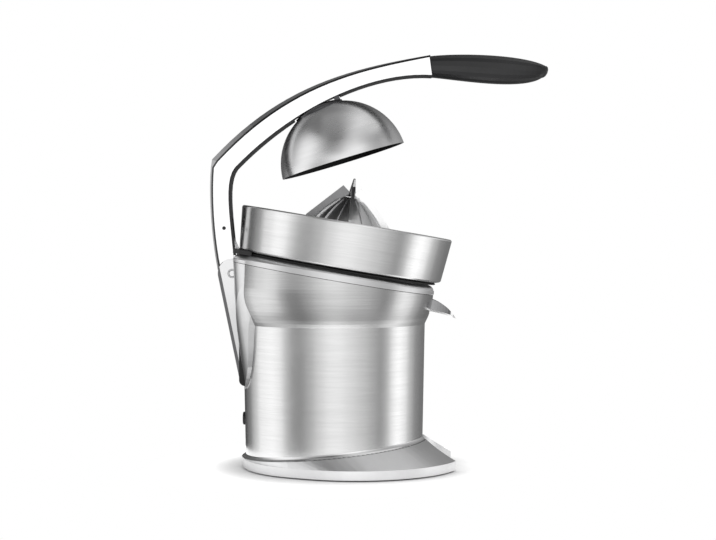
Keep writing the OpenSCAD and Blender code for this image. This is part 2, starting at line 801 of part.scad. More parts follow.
bush_low_z = -12;
bush_high_z = 16;
module spindle_bush() {
    color("goldenrod") on_axis() translate([0, 0, bush_low_z]) difference() {
        cylinder(bush_high_z - bush_low_z, r = bush_r);
        translate([0, 0, -cut]) cylinder(bush_high_z - bush_low_z + 2 * cut, r = spindle_r + fit);
    }
}
seal_h = 2.5;
module shaft_seal() {
    color(black) on_axis() translate([0, 0, chimney_z]) difference() {
        cylinder(seal_h, r = chimney_r);
        translate([0, 0, -cut]) cylinder(seal_h + 2 * cut, r = spindle_r + fit);
    }
}
cup_r = 8;
cup_h = 8;
spindle_low_z = -62;
spring_seat_z = -84;
stirrup_x = 18;
stirrup_w = 10;
module motor_bracket() {
    cup_top = spindle_low_z + cup_h / 2;
    color(steel) difference() {
        union() {
            on_axis() translate([0, 0, bracket_z]) linear_extrude(bracket_t) {
                link_plan([0, 0], can_r / 2 + pillar_r, [motor_off, 0], can_r + pillar_r);
                for (p = pillar_places) link_plan([p[0], 0], 2 * pillar_r, p, 2 * pillar_r);
            }
            on_axis() for (p = pillar_places) translate([p[0], p[1], bracket_z])
                cylinder(-deck_top - deck_t - bracket_z - seat, r = pillar_r);
            on_axis() for (s = [-1, 1]) translate([-stirrup_w / 2, s * stirrup_x - bracket_t / 2, spring_seat_z - bracket_t])
                cube([stirrup_w, bracket_t, bracket_z - spring_seat_z + bracket_t]);
            on_axis() translate([-stirrup_w / 2, -stirrup_x, spring_seat_z - bracket_t])
                cube([stirrup_w, 2 * stirrup_x, bracket_t]);
        }
        on_axis() translate([0, 0, bracket_z - cut]) cylinder(bracket_t + 2 * cut, r = spindle_r + fit);
        on_motor() translate([0, 0, bracket_z - cut]) cylinder(bracket_t + 2 * cut, r = shaft_r + play);
        on_motor() on_can_screws() translate([0, 0, bracket_z - cut]) cylinder(bracket_t + 2 * cut, r = can_screw_r + seat);
    }
}
pillar_places = [[-14, 40], [-14, -40], [62, 36], [62, -36]];
can_screw_r = 1.8;
can_screw_pcr = 18;
can_screw_count = 4;
can_head_r = 3.4;
can_head_h = 2;
can_screw_len = 6;
can_wall = 2.4;
shaft_r = 4;
module on_can_screws() {
    for (i = [0:can_screw_count - 1]) rotate(45 + i * 360 / can_screw_count) translate([can_screw_pcr, 0, 0]) children();
}
module motor_can() {
    color(black) on_motor() translate([0, 0, bracket_z - can_len]) difference() {
        cylinder(can_len, r = can_r);
        translate([0, 0, can_wall]) cylinder(can_len - 3 * can_wall, r = can_r - can_wall);
        translate([0, 0, -cut]) cylinder(can_len + 2 * cut, r = shaft_r + fit);
        on_can_screws() translate([0, 0, can_len - can_screw_len]) cylinder(can_screw_len + cut, r = can_screw_r + seat);
    }
}
module motor_screws() {
    color(steel) on_motor() on_can_screws() {
        translate([0, 0, bracket_z + bracket_t]) cylinder(can_head_h, r = can_head_r);
        translate([0, 0, bracket_z + bracket_t - can_screw_len - bracket_t / 2]) cylinder(can_screw_len + bracket_t / 2, r = can_screw_r);
    }
}
switch_size = [18, 7, 10];
switch_plunger_r = 1.5;
switch_plunger_h = 2;
module start_switch() {
    color(black) on_axis() translate([-switch_size[0] - cup_r, -switch_size[1] / 2, spindle_low_z - cup_h - switch_size[2] - switch_plunger_h - press_travel]) {
        cube(switch_size);
        translate([switch_size[0] / 2, switch_size[1] / 2, switch_size[2]]) switch_arm();
    }
}
// The switch's lever, which the cup's flange presses
module switch_arm() {
    translate([0, -switch_plunger_r, 0])
        cube([switch_size[0] / 2 + cup_r - press_r - press_wire / 2 - play, 2 * switch_plunger_r, switch_plunger_h - play]);
}
cup_flange = 3;
board_size = [70, 46, 1.6];
board_z = 9;
relay_size = [18, 14, 12];
drum_r = 8;
drum_h = 22;
board_foot_r = 3;
module power_board() {
    lift = foot_h + plate_t;
    color("darkgreen") translate([-board_size[0] / 2, -board_size[1] / 2, board_z]) {
        cube(board_size);
        for (x = [board_foot_r, board_size[0] - board_foot_r], y = [board_foot_r, board_size[1] - board_foot_r])
            translate([x, y, lift - board_z]) cylinder(board_z - lift + seat, r = board_foot_r);
        translate([board_foot_r, board_foot_r, board_size[2]]) cube(relay_size);
        translate([board_size[0] - 2 * drum_r, board_size[1] / 2, board_size[2]]) cylinder(drum_h, r = drum_r);
    }
}
gland_z = 52;
gland_r = 7;
gland_hole_r = 3.6;
gland_lip = 1.8;
gland_out = 0.9;
// Hollow of the round wall over the gland's flange
gland_sag = pow(gland_r + gland_lip, 2) / (2 * body_foot_r);
module cord_gland() {
    x = body_foot_r + (body_shoulder_r - body_foot_r) * (gland_z - shell_low_z) / (shoulder_z - shell_low_z);
    color(black) rotate([0, -90, 0]) translate([gland_z, 0, 0]) difference() {
        union() {
            cylinder(x + gland_out, r = gland_r);
            cylinder(x - shell_wall - play - gland_sag, r = gland_r + gland_lip);
        }
        cylinder(x - shell_wall - 4 * gland_lip, r = big);
        cylinder(big, r = gland_hole_r);
    }
}
rotor_len = 50;
rotor_r = 22;
rotor_gap = 12;
shaft_over = 14;
fan_r = 28;
fan_h = 9;
fan_count = 9;
fan_t = 1.6;
fan_hub_r = 8;
module rotor_shaft() {
    low = bracket_z - can_len - shaft_over;
    color(steel) on_motor() translate([0, 0, low]) cylinder(gear_z + gear_w + press_travel - low, r = shaft_r);
}
module rotor_core() {
    color("peru") on_motor() translate([0, 0, bracket_z - can_len + rotor_gap]) difference() {
        cylinder(rotor_len, r = rotor_r);
        translate([0, 0, -cut]) cylinder(rotor_len + 2 * cut, r = shaft_r);
    }
}
module cooling_fan() {
    color(black) on_motor() translate([0, 0, bracket_z - can_len - shaft_over + cut]) difference() {
        union() {
            cylinder(fan_h, r = fan_hub_r);
            cylinder(fan_t, r = fan_r);
            for (i = [0:fan_count - 1]) rotate(i * 360 / fan_count) translate([fan_hub_r - fan_t, -fan_t / 2, 0])
                cube([fan_r - fan_hub_r, fan_t, fan_h]);
        }
        translate([0, 0, -cut]) cylinder(fan_h + 2 * cut, r = shaft_r);
    }
}
// Plan of a spur gear, a tooth centred on +X
pressure_angle = 20;
addendum_share = 0.9;
dedendum_share = 1.2;
backlash = 0.12;
tooth_count = 3;
// The teeth start inside the root circle
tooth_root_share = 0.95;
function involute(rb, a) = rb * [cos(a) + a * PI / 180 * sin(a), sin(a) - a * PI / 180 * cos(a)];
module gear_plan(teeth) {
    rp = gear_m * teeth / 2;
    rb = rp * cos(pressure_angle);
    ra = rp + gear_m * addendum_share;
    rf = rp - gear_m * dedendum_share;
    top_a = acos(rb / ra);
    inv_p = tan(pressure_angle) * 180 / PI - pressure_angle;
    half = 90 / teeth - backlash / rp * 180 / PI / 2;
    flank = [for (i = [0:tooth_count]) let (
        r = mix(rb, ra, i / tooth_count),
        c = acos(rb / r),
        a = half + inv_p - (tan(c) * 180 / PI - c)
    ) [r * cos(a), r * sin(a)]];
    root_a = half + inv_p;
    ri = rf * tooth_root_share;
    circle(rf);
    for (i = [0:teeth - 1]) rotate(i * 360 / teeth) polygon(concat(
        [[0, 0], [ri * cos(root_a), -ri * sin(root_a)]],
        [for (p = flank) [p[0], -p[1]]],
        [for (j = [len(flank) - 1:-1:0]) flank[j]],
        [[ri * cos(root_a), ri * sin(root_a)]]
    ));
}
module pinion() {
    color(steel) on_motor() translate([0, 0, gear_z - press_travel]) difference() {
        linear_extrude(gear_w + press_travel) rotate(180) gear_plan(pinion_teeth);
        translate([0, 0, -cut]) cylinder(big, r = shaft_r);
    }
}
gear_web_t = 4;
gear_rim = 5;
gear_hub_r = 10;
module spindle_gear() {
    color("ivory") on_axis() translate([0, 0, gear_z]) difference() {
        union() {
            linear_extrude(gear_w) difference() {
                rotate(180 / gear_teeth) gear_plan(gear_teeth);
                circle(gear_m * gear_teeth / 2 - gear_rim);
            }
            translate([0, 0, (gear_w - gear_web_t) / 2]) cylinder(gear_web_t, r = gear_m * gear_teeth / 2 - gear_rim + cut);
            cylinder(gear_w, r = gear_hub_r);
        }
        translate([0, 0, -cut]) cylinder(gear_w + 2 * cut, r = spindle_r);
    }
}
module thrust_cup() {
    color(black) on_axis() translate([0, 0, spindle_low_z - cup_h / 2]) difference() {
        union() {
            cylinder(cup_h, r = cup_r);
            translate([0, 0, -cup_h / 2]) cylinder(cup_h / 2, r = cup_r + cup_flange);
        }
        translate([0, 0, cup_h / 2]) cylinder(cup_h, r = spindle_r + fit);
    }
}
press_coil_count = 4;
press_wire = 1.6;
press_r = 6;
press_count = 10;
module press_spring() {
    low = spring_seat_z + press_wire / 2;
    high = spindle_low_z - cup_h - press_wire / 2 - seat;
    n = press_coil_count * press_count;
    path = [for (i = [0:n]) [press_r * cos(i * 360 / press_count), press_r * sin(i * 360 / press_count), mix(low, high, i / n)]];
    color(steel) on_axis() rotate([90, 0, 0]) tube([for (p = path) [p[0], p[2], -p[1]]], press_wire / 2);
}
spindle_top_z = 62;
flat_share = 0.72;
module drive_plan(r) {
    intersection() {
        circle(r);
        translate([-r, -r]) square([r + r * flat_share, 2 * r]);
    }
}
module spindle() {
    color(steel) on_axis() {
        translate([0, 0, spindle_low_z]) cylinder(chimney_z + seal_h - spindle_low_z, r = spindle_r);
        translate([0, 0, chimney_z]) linear_extrude(spindle_top_z - chimney_z) rotate(cone_angle) drive_plan(spindle_r);
    }
}

// Reamer cone

cone_angle = 3;
cone_body_shares = [[1, 0], [0.92, 0.38], [0.52, 0.76], [0.08, 1]];
cone_count = 12;
cone_wall = 2.4;
cone_hub_r = 9;
fin_low_r = 53;
fin_bend = [52.5, 36];
fin_shoulder = [44.6, 48.4];
fin_corner = [10.9, 84.7];
fin_notch = [4, 79.5];
rib_t = 2.2;
rib_top_share = 0.86;
rib_low_share = 0.06;
spike_low_r = 3.2;
spike_top_r = 1.4;
function cone_line(grow, from_share, to_share, n) = [for (i = [0:n])
    let (
        k = mix(from_share, to_share, i / n),
        p = bez([for (s = cone_body_shares) [cone_r * s[0], mix(cone_low_z, cone_top_z, s[1])]], k)
    ) [max(p[0] + grow, 0), p[1]]];
cone_hub_z = chimney_z + seal_h + press_travel + 2 * play;
module reamer_cone() {
    color("lightsteelblue") on_axis() rotate(cone_angle) difference() {
        union() {
            difference() {
                rotate_extrude() polygon(concat([[0, cone_low_z]], cone_line(0, 0, 1, cone_count), [[0, cone_top_z + cut]]));
                rotate_extrude() polygon(concat([[0, cone_low_z - cut], [cone_r - cone_wall, cone_low_z - cut]],
                    [for (p = cone_line(-cone_wall, 0, cone_open_share, cone_count)) [p[0], p[1] - cone_wall / 2]],
                    [[0, mix(cone_low_z, cone_top_z, cone_open_share)]]));
            }
            for (i = [0:fin_count - 1]) rotate(i * 360 / fin_count) fin();
            for (i = [0:fin_count - 1], j = [1:rib_count]) {
                rotate((i + j / (rib_count + 1)) * 360 / fin_count) low_rib();
            }
            translate([0, 0, cone_hub_z]) cylinder(cone_top_z - cone_hub_z - cone_wall, r = cone_hub_r);
            translate([0, 0, cone_top_z - cone_wall]) cylinder(cone_tip_z - cone_top_z + cone_wall - spike_top_r, r1 = spike_low_r + cone_wall / 2, r2 = spike_top_r);
            translate([0, 0, cone_tip_z - spike_top_r]) sphere(spike_top_r, $fn = 24);
        }
        translate([0, 0, cone_low_z - cut]) linear_extrude(spindle_top_z - cone_low_z + 2 * cut) drive_plan(spindle_r + fit);
    }
}
cone_open_share = 0.62;
module fin() {
    line = cone_line(-cone_wall / 2, 0, 1, cone_count);
    side_slab(fin_t / 2) polygon(concat(
        line,
        [fin_notch, fin_corner, fin_shoulder, fin_bend, [fin_low_r, cone_low_z]]
    ));
}
module low_rib() {
    line = cone_line(-cone_wall / 2, rib_low_share, rib_top_share, cone_count);
    crest = cone_line(rib_h, rib_low_share, rib_top_share, cone_count);
    side_slab(rib_t / 2) polygon(concat(line, backwards(crest)));
}

// Rocker and control link

cheek_in = 10.4;
rocker_web = 3.5;
web_low_z = 108;
web_high_z = 200;
module rocker() {
    color(satin) difference() {
        side_slab(arm_half_w) link_plan(knuckle, knuckle_r, rocker_pivot, rocker_low_r);
        difference() {
            side_slab(cheek_in) square_all();
            side_slab(arm_half_w + cut) intersection() {
                difference() {
                    link_plan(knuckle, knuckle_r, rocker_pivot, rocker_low_r);
                    translate([rocker_web, 0]) link_plan(knuckle, knuckle_r, rocker_pivot, rocker_low_r);
                }
                translate([-big, web_low_z]) square([big, web_high_z - web_low_z]);
            }
        }
        translate([rocker_x, 0, rocker_z]) rotate([90, 0, 0]) cylinder(big, r = rocker_pin_r + fit, center = true);
        translate([knuckle_x, 0, knuckle_z]) rotate([90, 0, 0]) cylinder(big, r = pin_r + seat, center = true);
        side_pair(arm_half_w - pin_inset, arm_half_w + cut) translate(knuckle) circle(washer_r + seat);
        rocker_bevel();
    }
}
washer_r = 4.8;
band_leg = 3.6;
// The bevel along the rocker's outer edge, in line with the band on the arm's leg
module rocker_bevel() {
    d = norm(rocker_pivot - knuckle);
    u = (rocker_pivot - knuckle) / d;
    k = (knuckle_r - rocker_low_r) / d;
    h = sqrt(1 - k * k);
    n = [k * u[0] + h * u[1], k * u[1] - h * u[0]];
    foot = rocker_pivot + rocker_low_r * n;
    way = knuckle + knuckle_r * n - foot;
    bx = band_leg;
    by = band_inset * band_leg / band_elbow;
    w = arm_half_w;
    translate([foot[0], 0, foot[1]]) rotate([0, atan2(way[0], way[1]), 0]) linear_extrude(norm(way) + knuckle_r) {
        for (s = [-1, 1]) polygon([[-cut, s * (w - by - cut * by / bx)], [bx + cut * bx / by, s * (w + cut)], [-cut, s * (w + cut)]]);
    }
}
module square_all() translate([-big, 0]) square([2 * big, 2 * big]);
pin_inset = 0.8;
module knuckle_pin() {
    color(steel) {
        translate([knuckle_x, 0, knuckle_z]) rotate([90, 0, 0]) cylinder(2 * arm_half_w, r = pin_r, center = true);
        side_pair(arm_half_w - pin_inset, arm_half_w - pin_inset / 2) translate(knuckle) circle(washer_r);
    }
}
link_half = 3;
link_eye_r = 7;
upper_pin_r = 2;
// Room round the upper pin, because the joints keep constant ratios
upper_room = 2.5;
link_bar_r = 5;
module control_link() {
    color(steel) difference() {
        union() {
            side_slab(link_half) link_plan(anchor, lug_r, upper_pivot, link_bar_r);
            side_slab(link_half) translate(upper_pivot) circle(link_eye_r);
        }
        translate([anchor[0], 0, anchor[1]]) rotate([90, 0, 0]) cylinder(big, r = pin_r + fit, center = true);
        translate([upper_x, 0, upper_z]) rotate([90, 0, 0]) cylinder(big, r = upper_pin_r + upper_room, center = true);
    }
}

// Lever arm

arm_top_shares = [[0, 0], [0.32, 0.72], [0.64, 0.87], [1, 1]];
arm_under_shares = [[0, 0], [0.28, 0.61], [0.67, 1.04], [1, 1]];
leg_out_shares = [[0, 0], [-0.04, -0.25], [-0.005, -0.74], [0.065, -1.04]];
leg_in_shares = [[0, 0], [-0.11, -0.13], [-0.03, -0.5], [0, -0.93]];
elbow_in = [27.2, -9.6];
seam_lean = 3;
cover_lip = 2.7;
front_lip = 1.2;
arm_roof = 4;
leg_count = 12;
diag_count = 22;
band_inset = 4;
leg_h = elbow_z - knuckle_z;
elbow = [elbow_x, elbow_z];
elbow_under = elbow + elbow_in;
seam_top = [grip_seam_x, grip_seam_z];
seam_under = [grip_seam_x + seam_lean, grip_seam_z - arm_seam_depth];
function along(p, span, shares) = [for (s = shares) [p[0] + span[0] * s[0], p[1] + span[1] * s[1]]];
leg_out = curve(along(elbow, [leg_h, leg_h], leg_out_shares), leg_count);
leg_in = curve(along(elbow_under, [leg_h, leg_h], leg_in_shares), leg_count);
diag_out = curve(along(elbow, seam_top - elbow, arm_top_shares), diag_count);
diag_in = curve(along(elbow_under, seam_under - elbow_under, arm_under_shares), diag_count);
function backwards(v) = [for (i = [len(v) - 1:-1:0]) v[i]];
function after_first(v) = [for (i = [1:len(v) - 1]) v[i]];
outer_line = concat(backwards(leg_out), after_first(diag_out));
inner_line = concat(backwards(leg_in), after_first(diag_in));
arm_count = len(outer_line) - 1;
function band_at(i) = i < leg_count ? band_leg : i == leg_count ? band_elbow : mix(band_elbow, band_grip, (i - leg_count) / diag_count);
function lip_at(i) = i <= leg_count ? cover_lip : mix(cover_lip, front_lip, (i - leg_count) / diag_count);
// A point of the arm's section i: y across, v from the under line towards the top line
function arm_point(i, y, v) = let (
    a = inner_line[i],
    u = (outer_line[i] - a) / norm(outer_line[i] - a)
) [a[0] + u[0] * v, y, a[1] + u[1] * v];
function arm_ring(i) = let (
    h = norm(outer_line[i] - inner_line[i]),
    w = arm_half_w,
    b = band_at(i),
    e = band_inset * b / band_elbow,
    l = lip_at(i),
    c = arm_wall
) [for (q = [[-w, l], [-w, h - b], [-w + e, h], [w - e, h], [w, h - b], [w, l],
    [w - c, l], [w - c, h - arm_roof], [-w + c, h - arm_roof], [-w + c, l]]) arm_point(i, q[0], q[1])];
arc_gap = 0.5;
tongue_in = 7;
tongue_out = 10;
tongue_r = 8;
tongue_high = [-114, 240];
tang_len = 70;
tang_half_w = 7;
tang_depth = 9;
tang_angle = 3;
module lever_arm() {
    color(satin) difference() {
        union() {
            difference() {
                loft([for (i = [0:arm_count]) arm_ring(i)], channel_caps);
                translate([knuckle_x, 0, knuckle_z]) rotate([90, 0, 0]) cylinder(big, r = knuckle_r + arc_gap, center = true);
                translate([-big, -big / 2, knuckle_z - big - knuckle_r / 4]) cube([2 * big, big, big]);
            }
            side_pair(tongue_in, tongue_out) link_plan(knuckle, tongue_r, tongue_high, tongue_r);
            side_pair(tongue_out - cut, arm_half_w - cut / 4) link_plan(tongue_high + [0, tongue_r], tongue_r / 2, upper_pivot, tongue_r / 2);
            side_pair(tongue_in, arm_half_w - cut / 4) translate(upper_pivot) circle(tongue_r / 2);
            translate([grip_seam_x, 0, grip_seam_z - arm_seam_depth / 2]) rotate([0, tang_angle, 0]) translate([-tang_len / 4, -arm_half_w + arm_wall / 2, -tang_depth / 2])
                cube([tang_len / 4, 2 * arm_half_w - arm_wall, tang_depth]);
            translate([grip_seam_x, 0, grip_seam_z - arm_seam_depth / 2]) rotate([0, tang_angle, 0]) translate([-cut, -tang_half_w, -tang_depth / 2])
                cube([tang_len, 2 * tang_half_w, tang_depth]);
        }
        translate([knuckle_x, 0, knuckle_z]) rotate([90, 0, 0]) cylinder(big, r = pin_r + fit, center = true);
        translate([upper_x, 0, upper_z]) rotate([90, 0, 0]) cylinder(big, r = upper_pin_r, center = true);
    }
}
module upper_pin() {
    color(black) translate([upper_x, 0, upper_z]) rotate([90, 0, 0]) cylinder(2 * (arm_half_w - pin_inset), r = upper_pin_r, center = true);
}
// Under-covers, in the mouth of the arm's channel
function cover_ring(i, plug) = let (
    w = arm_half_w - seat,
    c = arm_half_w - arm_wall - seat,
    l = lip_at(i) - seat
) [for (q = [[-w, 0], [-w, l], [-c, l], [-c, l + plug], [c, l + plug], [c, l], [w, l], [w, 0]]) arm_point(i, q[0], q[1])];
cover_plug = 3;
cover_caps = [[0, 1, 2], [0, 2, 5, 7], [5, 6, 7], [2, 3, 4, 5]];
pocket_from = leg_count + 7;
pocket_to = leg_count + 12;
link_room_z = 268;
module rear_cover() {
    color(black) difference() {
        loft([for (i = [0:pocket_from]) cover_ring(i, cover_plug)], cover_caps);
        translate([knuckle_x, 0, knuckle_z]) rotate([90, 0, 0]) cylinder(big, r = knuckle_r + arc_gap, center = true);
        translate([-big, -big / 2, anchor[1] + lug_r - big]) cube([2 * big, big, big]);
        translate([-big, arm_wall - arm_half_w, 0]) cube([2 * big, 2 * (arm_half_w - arm_wall), link_room_z]);
    }
}
module front_cover() {
    color(black) difference() {
        loft([for (i = [pocket_to:arm_count]) cover_ring(i, cover_plug)], cover_caps);
        translate([grip_seam_x - tang_len / 4 - seat, -big / 2, grip_seam_z - arm_seam_depth + lip_at(arm_count) + cut]) cube([big, big, big]);
    }
}

// Grip

grip_count = 18;
grip_side_count = 20;
grip_top_shares = [[0, 0], [0.25, 0.13], [0.81, 0.07], [1, -0.33]];
grip_root_share = 0.74;
grip_root_lean = seam_lean * grip_root_share * grip_depth / arm_seam_depth / grip_len;
grip_low_shares = [[grip_root_lean, -grip_root_share], [0.26, -0.82], [0.8, -1.21], [0.97, -0.74]];
grip_width_shares = [[0, 0.8], [0.3, 0.9], [0.8, 1.3], [1, 0.42]];
grip_square_share = 2.6;
nose_count = 4;
nose_share = 0.14;
nose_len = 4;
function bulge(c, p) = sign(c) * pow(abs(c), 2 / p);
grip_top = curve(along(seam_top, [grip_len, grip_depth], grip_top_shares), grip_count);
grip_low = curve(along(seam_top, [grip_len, grip_depth], grip_low_shares), grip_count);
grip_wide = curve(grip_width_shares, grip_count);
function grip_ring(top, low, w) = let (
    m = (top + low) / 2,
    h = norm(top - low) / 2,
    u = (top - low) / norm(top - low)
) [for (j = [0:grip_side_count - 1]) let (
    a = -j * 360 / grip_side_count,
    y = w * bulge(cos(a), grip_square_share),
    v = h * bulge(sin(a), grip_square_share)
) [m[0] + u[0] * v, y, m[1] + u[1] * v]];
module grip() {
    body = [for (i = [0:grip_count]) grip_ring(grip_top[i], grip_low[i], grip_half_w * grip_wide[i][1])];
    top = grip_top[grip_count];
    low = grip_low[grip_count];
    mid = (top + low) / 2;
    nose = [for (i = [1:nose_count]) let (
        k = i / nose_count,
        s = sqrt(1 - k * k * (1 - nose_share)),
        f = [nose_len * k, 0]
    ) grip_ring(mid + (top - mid) * s + f, mid + (low - mid) * s + f, grip_half_w * grip_wide[grip_count][1] * s)];
    color(black) difference() {
        translate([2 * seat, 0, 0]) loft(concat(body, nose));
        translate([grip_seam_x, 0, grip_seam_z - arm_seam_depth / 2]) rotate([0, tang_angle, 0]) translate([-big, -tang_half_w - seat, -tang_depth / 2 - seat])
            cube([big + tang_len, 2 * (tang_half_w + seat), tang_depth + 2 * seat]);
    }
}

// Pressing dome

dome_ball_r = (dome_r * dome_r + dome_h * dome_h) / (2 * dome_h);
dome_sink = dome_ball_r - dome_h;
module dome_shell(out, in) {
    rotate_extrude() intersection() {
        difference() {
            circle(dome_ball_r + out);
            circle(dome_ball_r - in);
        }
        translate([0, dome_sink]) square([big, big]);
    }
}
module on_dome() raised() on_axis() translate([0, 0, dome_seat_z - dome_sink]) children();
dome_screw_r = 2;
dome_screw_x = -10;
dome_screw_y = 6;
dome_head_r = 4.2;
dome_head_h = 2.2;
dome_head_drop = 2;
dome_screw_len = 14;
module pressing_dome() {
    color(steel) difference() {
        on_dome() dome_shell(0, dome_wall);
        on_dome_screws() cylinder(big, r = dome_screw_r + seat);
    }
}
// The frame of the dome's mount, its axis square to the arm over the dome
mount_angle = -8;
pad_r = 27;
pad_t = 1.4;
mount_half_w = 10;
mount_top = 80;
mount_bar_low = 74;
mount_low = 58;
block_foot_x = -24;
block_foot_z = 62;
block_rear_x = -12;
block_rear_z = 69.5;
block_front_x = 2;
tab_x = [20, 25.5];
module on_mount() on_dome() rotate([0, mount_angle, 0]) children();
module on_dome_screws() {
    for (s = [-1, 1]) on_mount() translate([dome_screw_x, s * dome_screw_y, dome_ball_r - dome_wall - dome_head_drop]) children();
}
module dome_mount() {
    color(satin) difference() {
        union() {
            intersection() {
                on_dome() dome_shell(pad_t, -seat);
                on_mount() cylinder(big, r = pad_r);
            }
            difference() {
                on_mount() side_slab(mount_half_w) {
                    polygon([
                        [block_foot_x, mount_low], [block_foot_x, block_foot_z], [block_rear_x, block_rear_z],
                        [block_rear_x, mount_top], [block_front_x, mount_top], [block_front_x, mount_low]
                    ]);
                    translate([tab_x[0], mount_low]) square([tab_x[1] - tab_x[0], mount_top - mount_low]);
                    translate([block_rear_x, mount_bar_low]) square([tab_x[1] - block_rear_x, mount_top - mount_bar_low]);
                }
                on_dome() sphere(dome_ball_r + seat);
            }
        }
        on_dome_screws() cylinder(dome_screw_len + seat, r = dome_screw_r + seat);
    }
}
module dome_screws() {
    color(steel) on_dome_screws() {
        translate([0, 0, -dome_head_h]) cylinder(dome_head_h, r = dome_head_r);
        cylinder(dome_screw_len, r = dome_screw_r);
    }
}

foot_ring();
bottom_plate();
base_screws();
base_casting();
body_shell();
rear_column();
top_collar();
column_cap();
deck();
juice_bowl();
strainer();
drain_duct();
spout_pin();
spindle_bush();
shaft_seal();
motor_bracket();
motor_can();
motor_screws();
start_switch();
power_board();
cord_gland();
rocker_pin();
anchor_pin();
return_spring();
rotor_shaft();
rotor_core();
pinion();
cooling_fan();
thrust_cup();
press_spring();
spindle();
spindle_gear();
reamer_cone();
rocker();
knuckle_pin();
control_link();
lever_arm();
rear_cover();
front_cover();
grip();
dome_mount();
pressing_dome();
dome_screws();
upper_pin();
spout();
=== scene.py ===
"""Looks of the lever citrus press.

Finishes for the CAD frame, some with painted light and shade, small fitted pieces, a pale studio and the
camera.
"""

from __future__ import annotations

import json
import logging
import math
from dataclasses import dataclass
from enum import Enum
from typing import Any, Callable, Dict, List, Optional, Sequence, Tuple, Union

import bpy
from mathutils import Euler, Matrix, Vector

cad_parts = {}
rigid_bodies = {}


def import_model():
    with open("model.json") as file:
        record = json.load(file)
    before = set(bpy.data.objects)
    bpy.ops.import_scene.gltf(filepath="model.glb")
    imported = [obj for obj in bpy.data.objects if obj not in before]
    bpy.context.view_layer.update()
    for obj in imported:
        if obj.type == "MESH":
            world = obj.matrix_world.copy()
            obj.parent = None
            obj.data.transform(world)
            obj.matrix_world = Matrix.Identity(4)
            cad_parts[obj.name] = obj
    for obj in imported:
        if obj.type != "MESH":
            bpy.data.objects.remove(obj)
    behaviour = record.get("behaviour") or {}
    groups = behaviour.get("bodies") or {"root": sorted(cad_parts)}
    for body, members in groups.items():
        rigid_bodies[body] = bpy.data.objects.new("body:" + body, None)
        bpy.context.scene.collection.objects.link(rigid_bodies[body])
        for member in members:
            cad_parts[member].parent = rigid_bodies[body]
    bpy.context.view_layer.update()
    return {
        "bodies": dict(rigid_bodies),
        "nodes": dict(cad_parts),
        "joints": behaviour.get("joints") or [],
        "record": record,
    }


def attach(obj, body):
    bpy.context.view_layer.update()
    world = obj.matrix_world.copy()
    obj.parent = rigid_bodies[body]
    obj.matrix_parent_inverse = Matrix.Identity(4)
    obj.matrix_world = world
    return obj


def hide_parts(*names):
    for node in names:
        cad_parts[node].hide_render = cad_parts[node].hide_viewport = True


LOG = logging.getLogger("press")
MM = 0.001
Value = Union["Sock", int, float]
Rgb = Tuple[float, float, float]
Point = Tuple[float, float, float]
Outline = Tuple[Tuple[float, float], ...]
Levels = Tuple[Tuple[float, float], ...]


class Grain(Enum):
    """Way that the brushing of a metal runs."""

    NONE = "none"
    ROUND_BODY = "round the body's upright axis"
    ROUND_BOWL = "round the bowl's slanted axis"
    ROUND_DOME = "round the dome's axis at rest"


@dataclass(frozen=True)
class Axis:
    """An axis that a finish runs round, given by a point on it and its lean towards +X in degrees."""

    x: float
    z: float
    lean: float


BOWL_AXIS = Axis(6.8 * MM, 218.6 * MM, 9.6)
AXES: Dict[Grain, Axis] = {
    Grain.ROUND_BODY: Axis(0.0, 0.0, 0.0),
    Grain.ROUND_BOWL: BOWL_AXIS,
    Grain.ROUND_DOME: Axis(10.1 * MM, 330.0 * MM, -17.0),
}


@dataclass(frozen=True)
class PatternSpec:
    """Numbers that the patterns of all finishes share.

    Attributes:
        octaves: Octaves of every noise.
        finer: Strength of a noise's finer octaves.
        brush_finer: The same in the fine lines of a brushed metal.
        cloud_waves: Waves a metre of the broad clouds in a metal without brushing.
        cloud_share: Share of the clouds in its pattern.
        line_round: Metres that one radian round the axis counts for in the fine lines.
        streak_round: The same in the broad streaks.
        streak_across: Share of the radius that counts in the broad streaks.
        streak_waves: Waves a metre of the broad streaks.
        streak_share: Share of the streaks in a brushed pattern.
        hollow: Level below which a pattern shows its low colour alone.
        crest: Level above which it shows its high colour alone.
        mark_waves: Waves a metre of the finger marks.
        mark_start: Level of their noise where a mark starts.
        mark_end: Level from which it is full.
        relief: Strength of the relief.
        coat_rough: Roughness of a clear coat.
    """

    octaves: float = 3.0
    finer: float = 0.6
    brush_finer: float = 0.7
    cloud_waves: float = 32.0
    cloud_share: float = 0.6
    line_round: float = 0.0016
    streak_round: float = 0.004
    streak_across: float = 0.5
    streak_waves: float = 260.0
    streak_share: float = 0.45
    hollow: float = 0.25
    crest: float = 0.75
    mark_waves: float = 28.0
    mark_start: float = 0.45
    mark_end: float = 0.7
    relief: float = 0.5
    coat_rough: float = 0.12


PATTERN = PatternSpec()


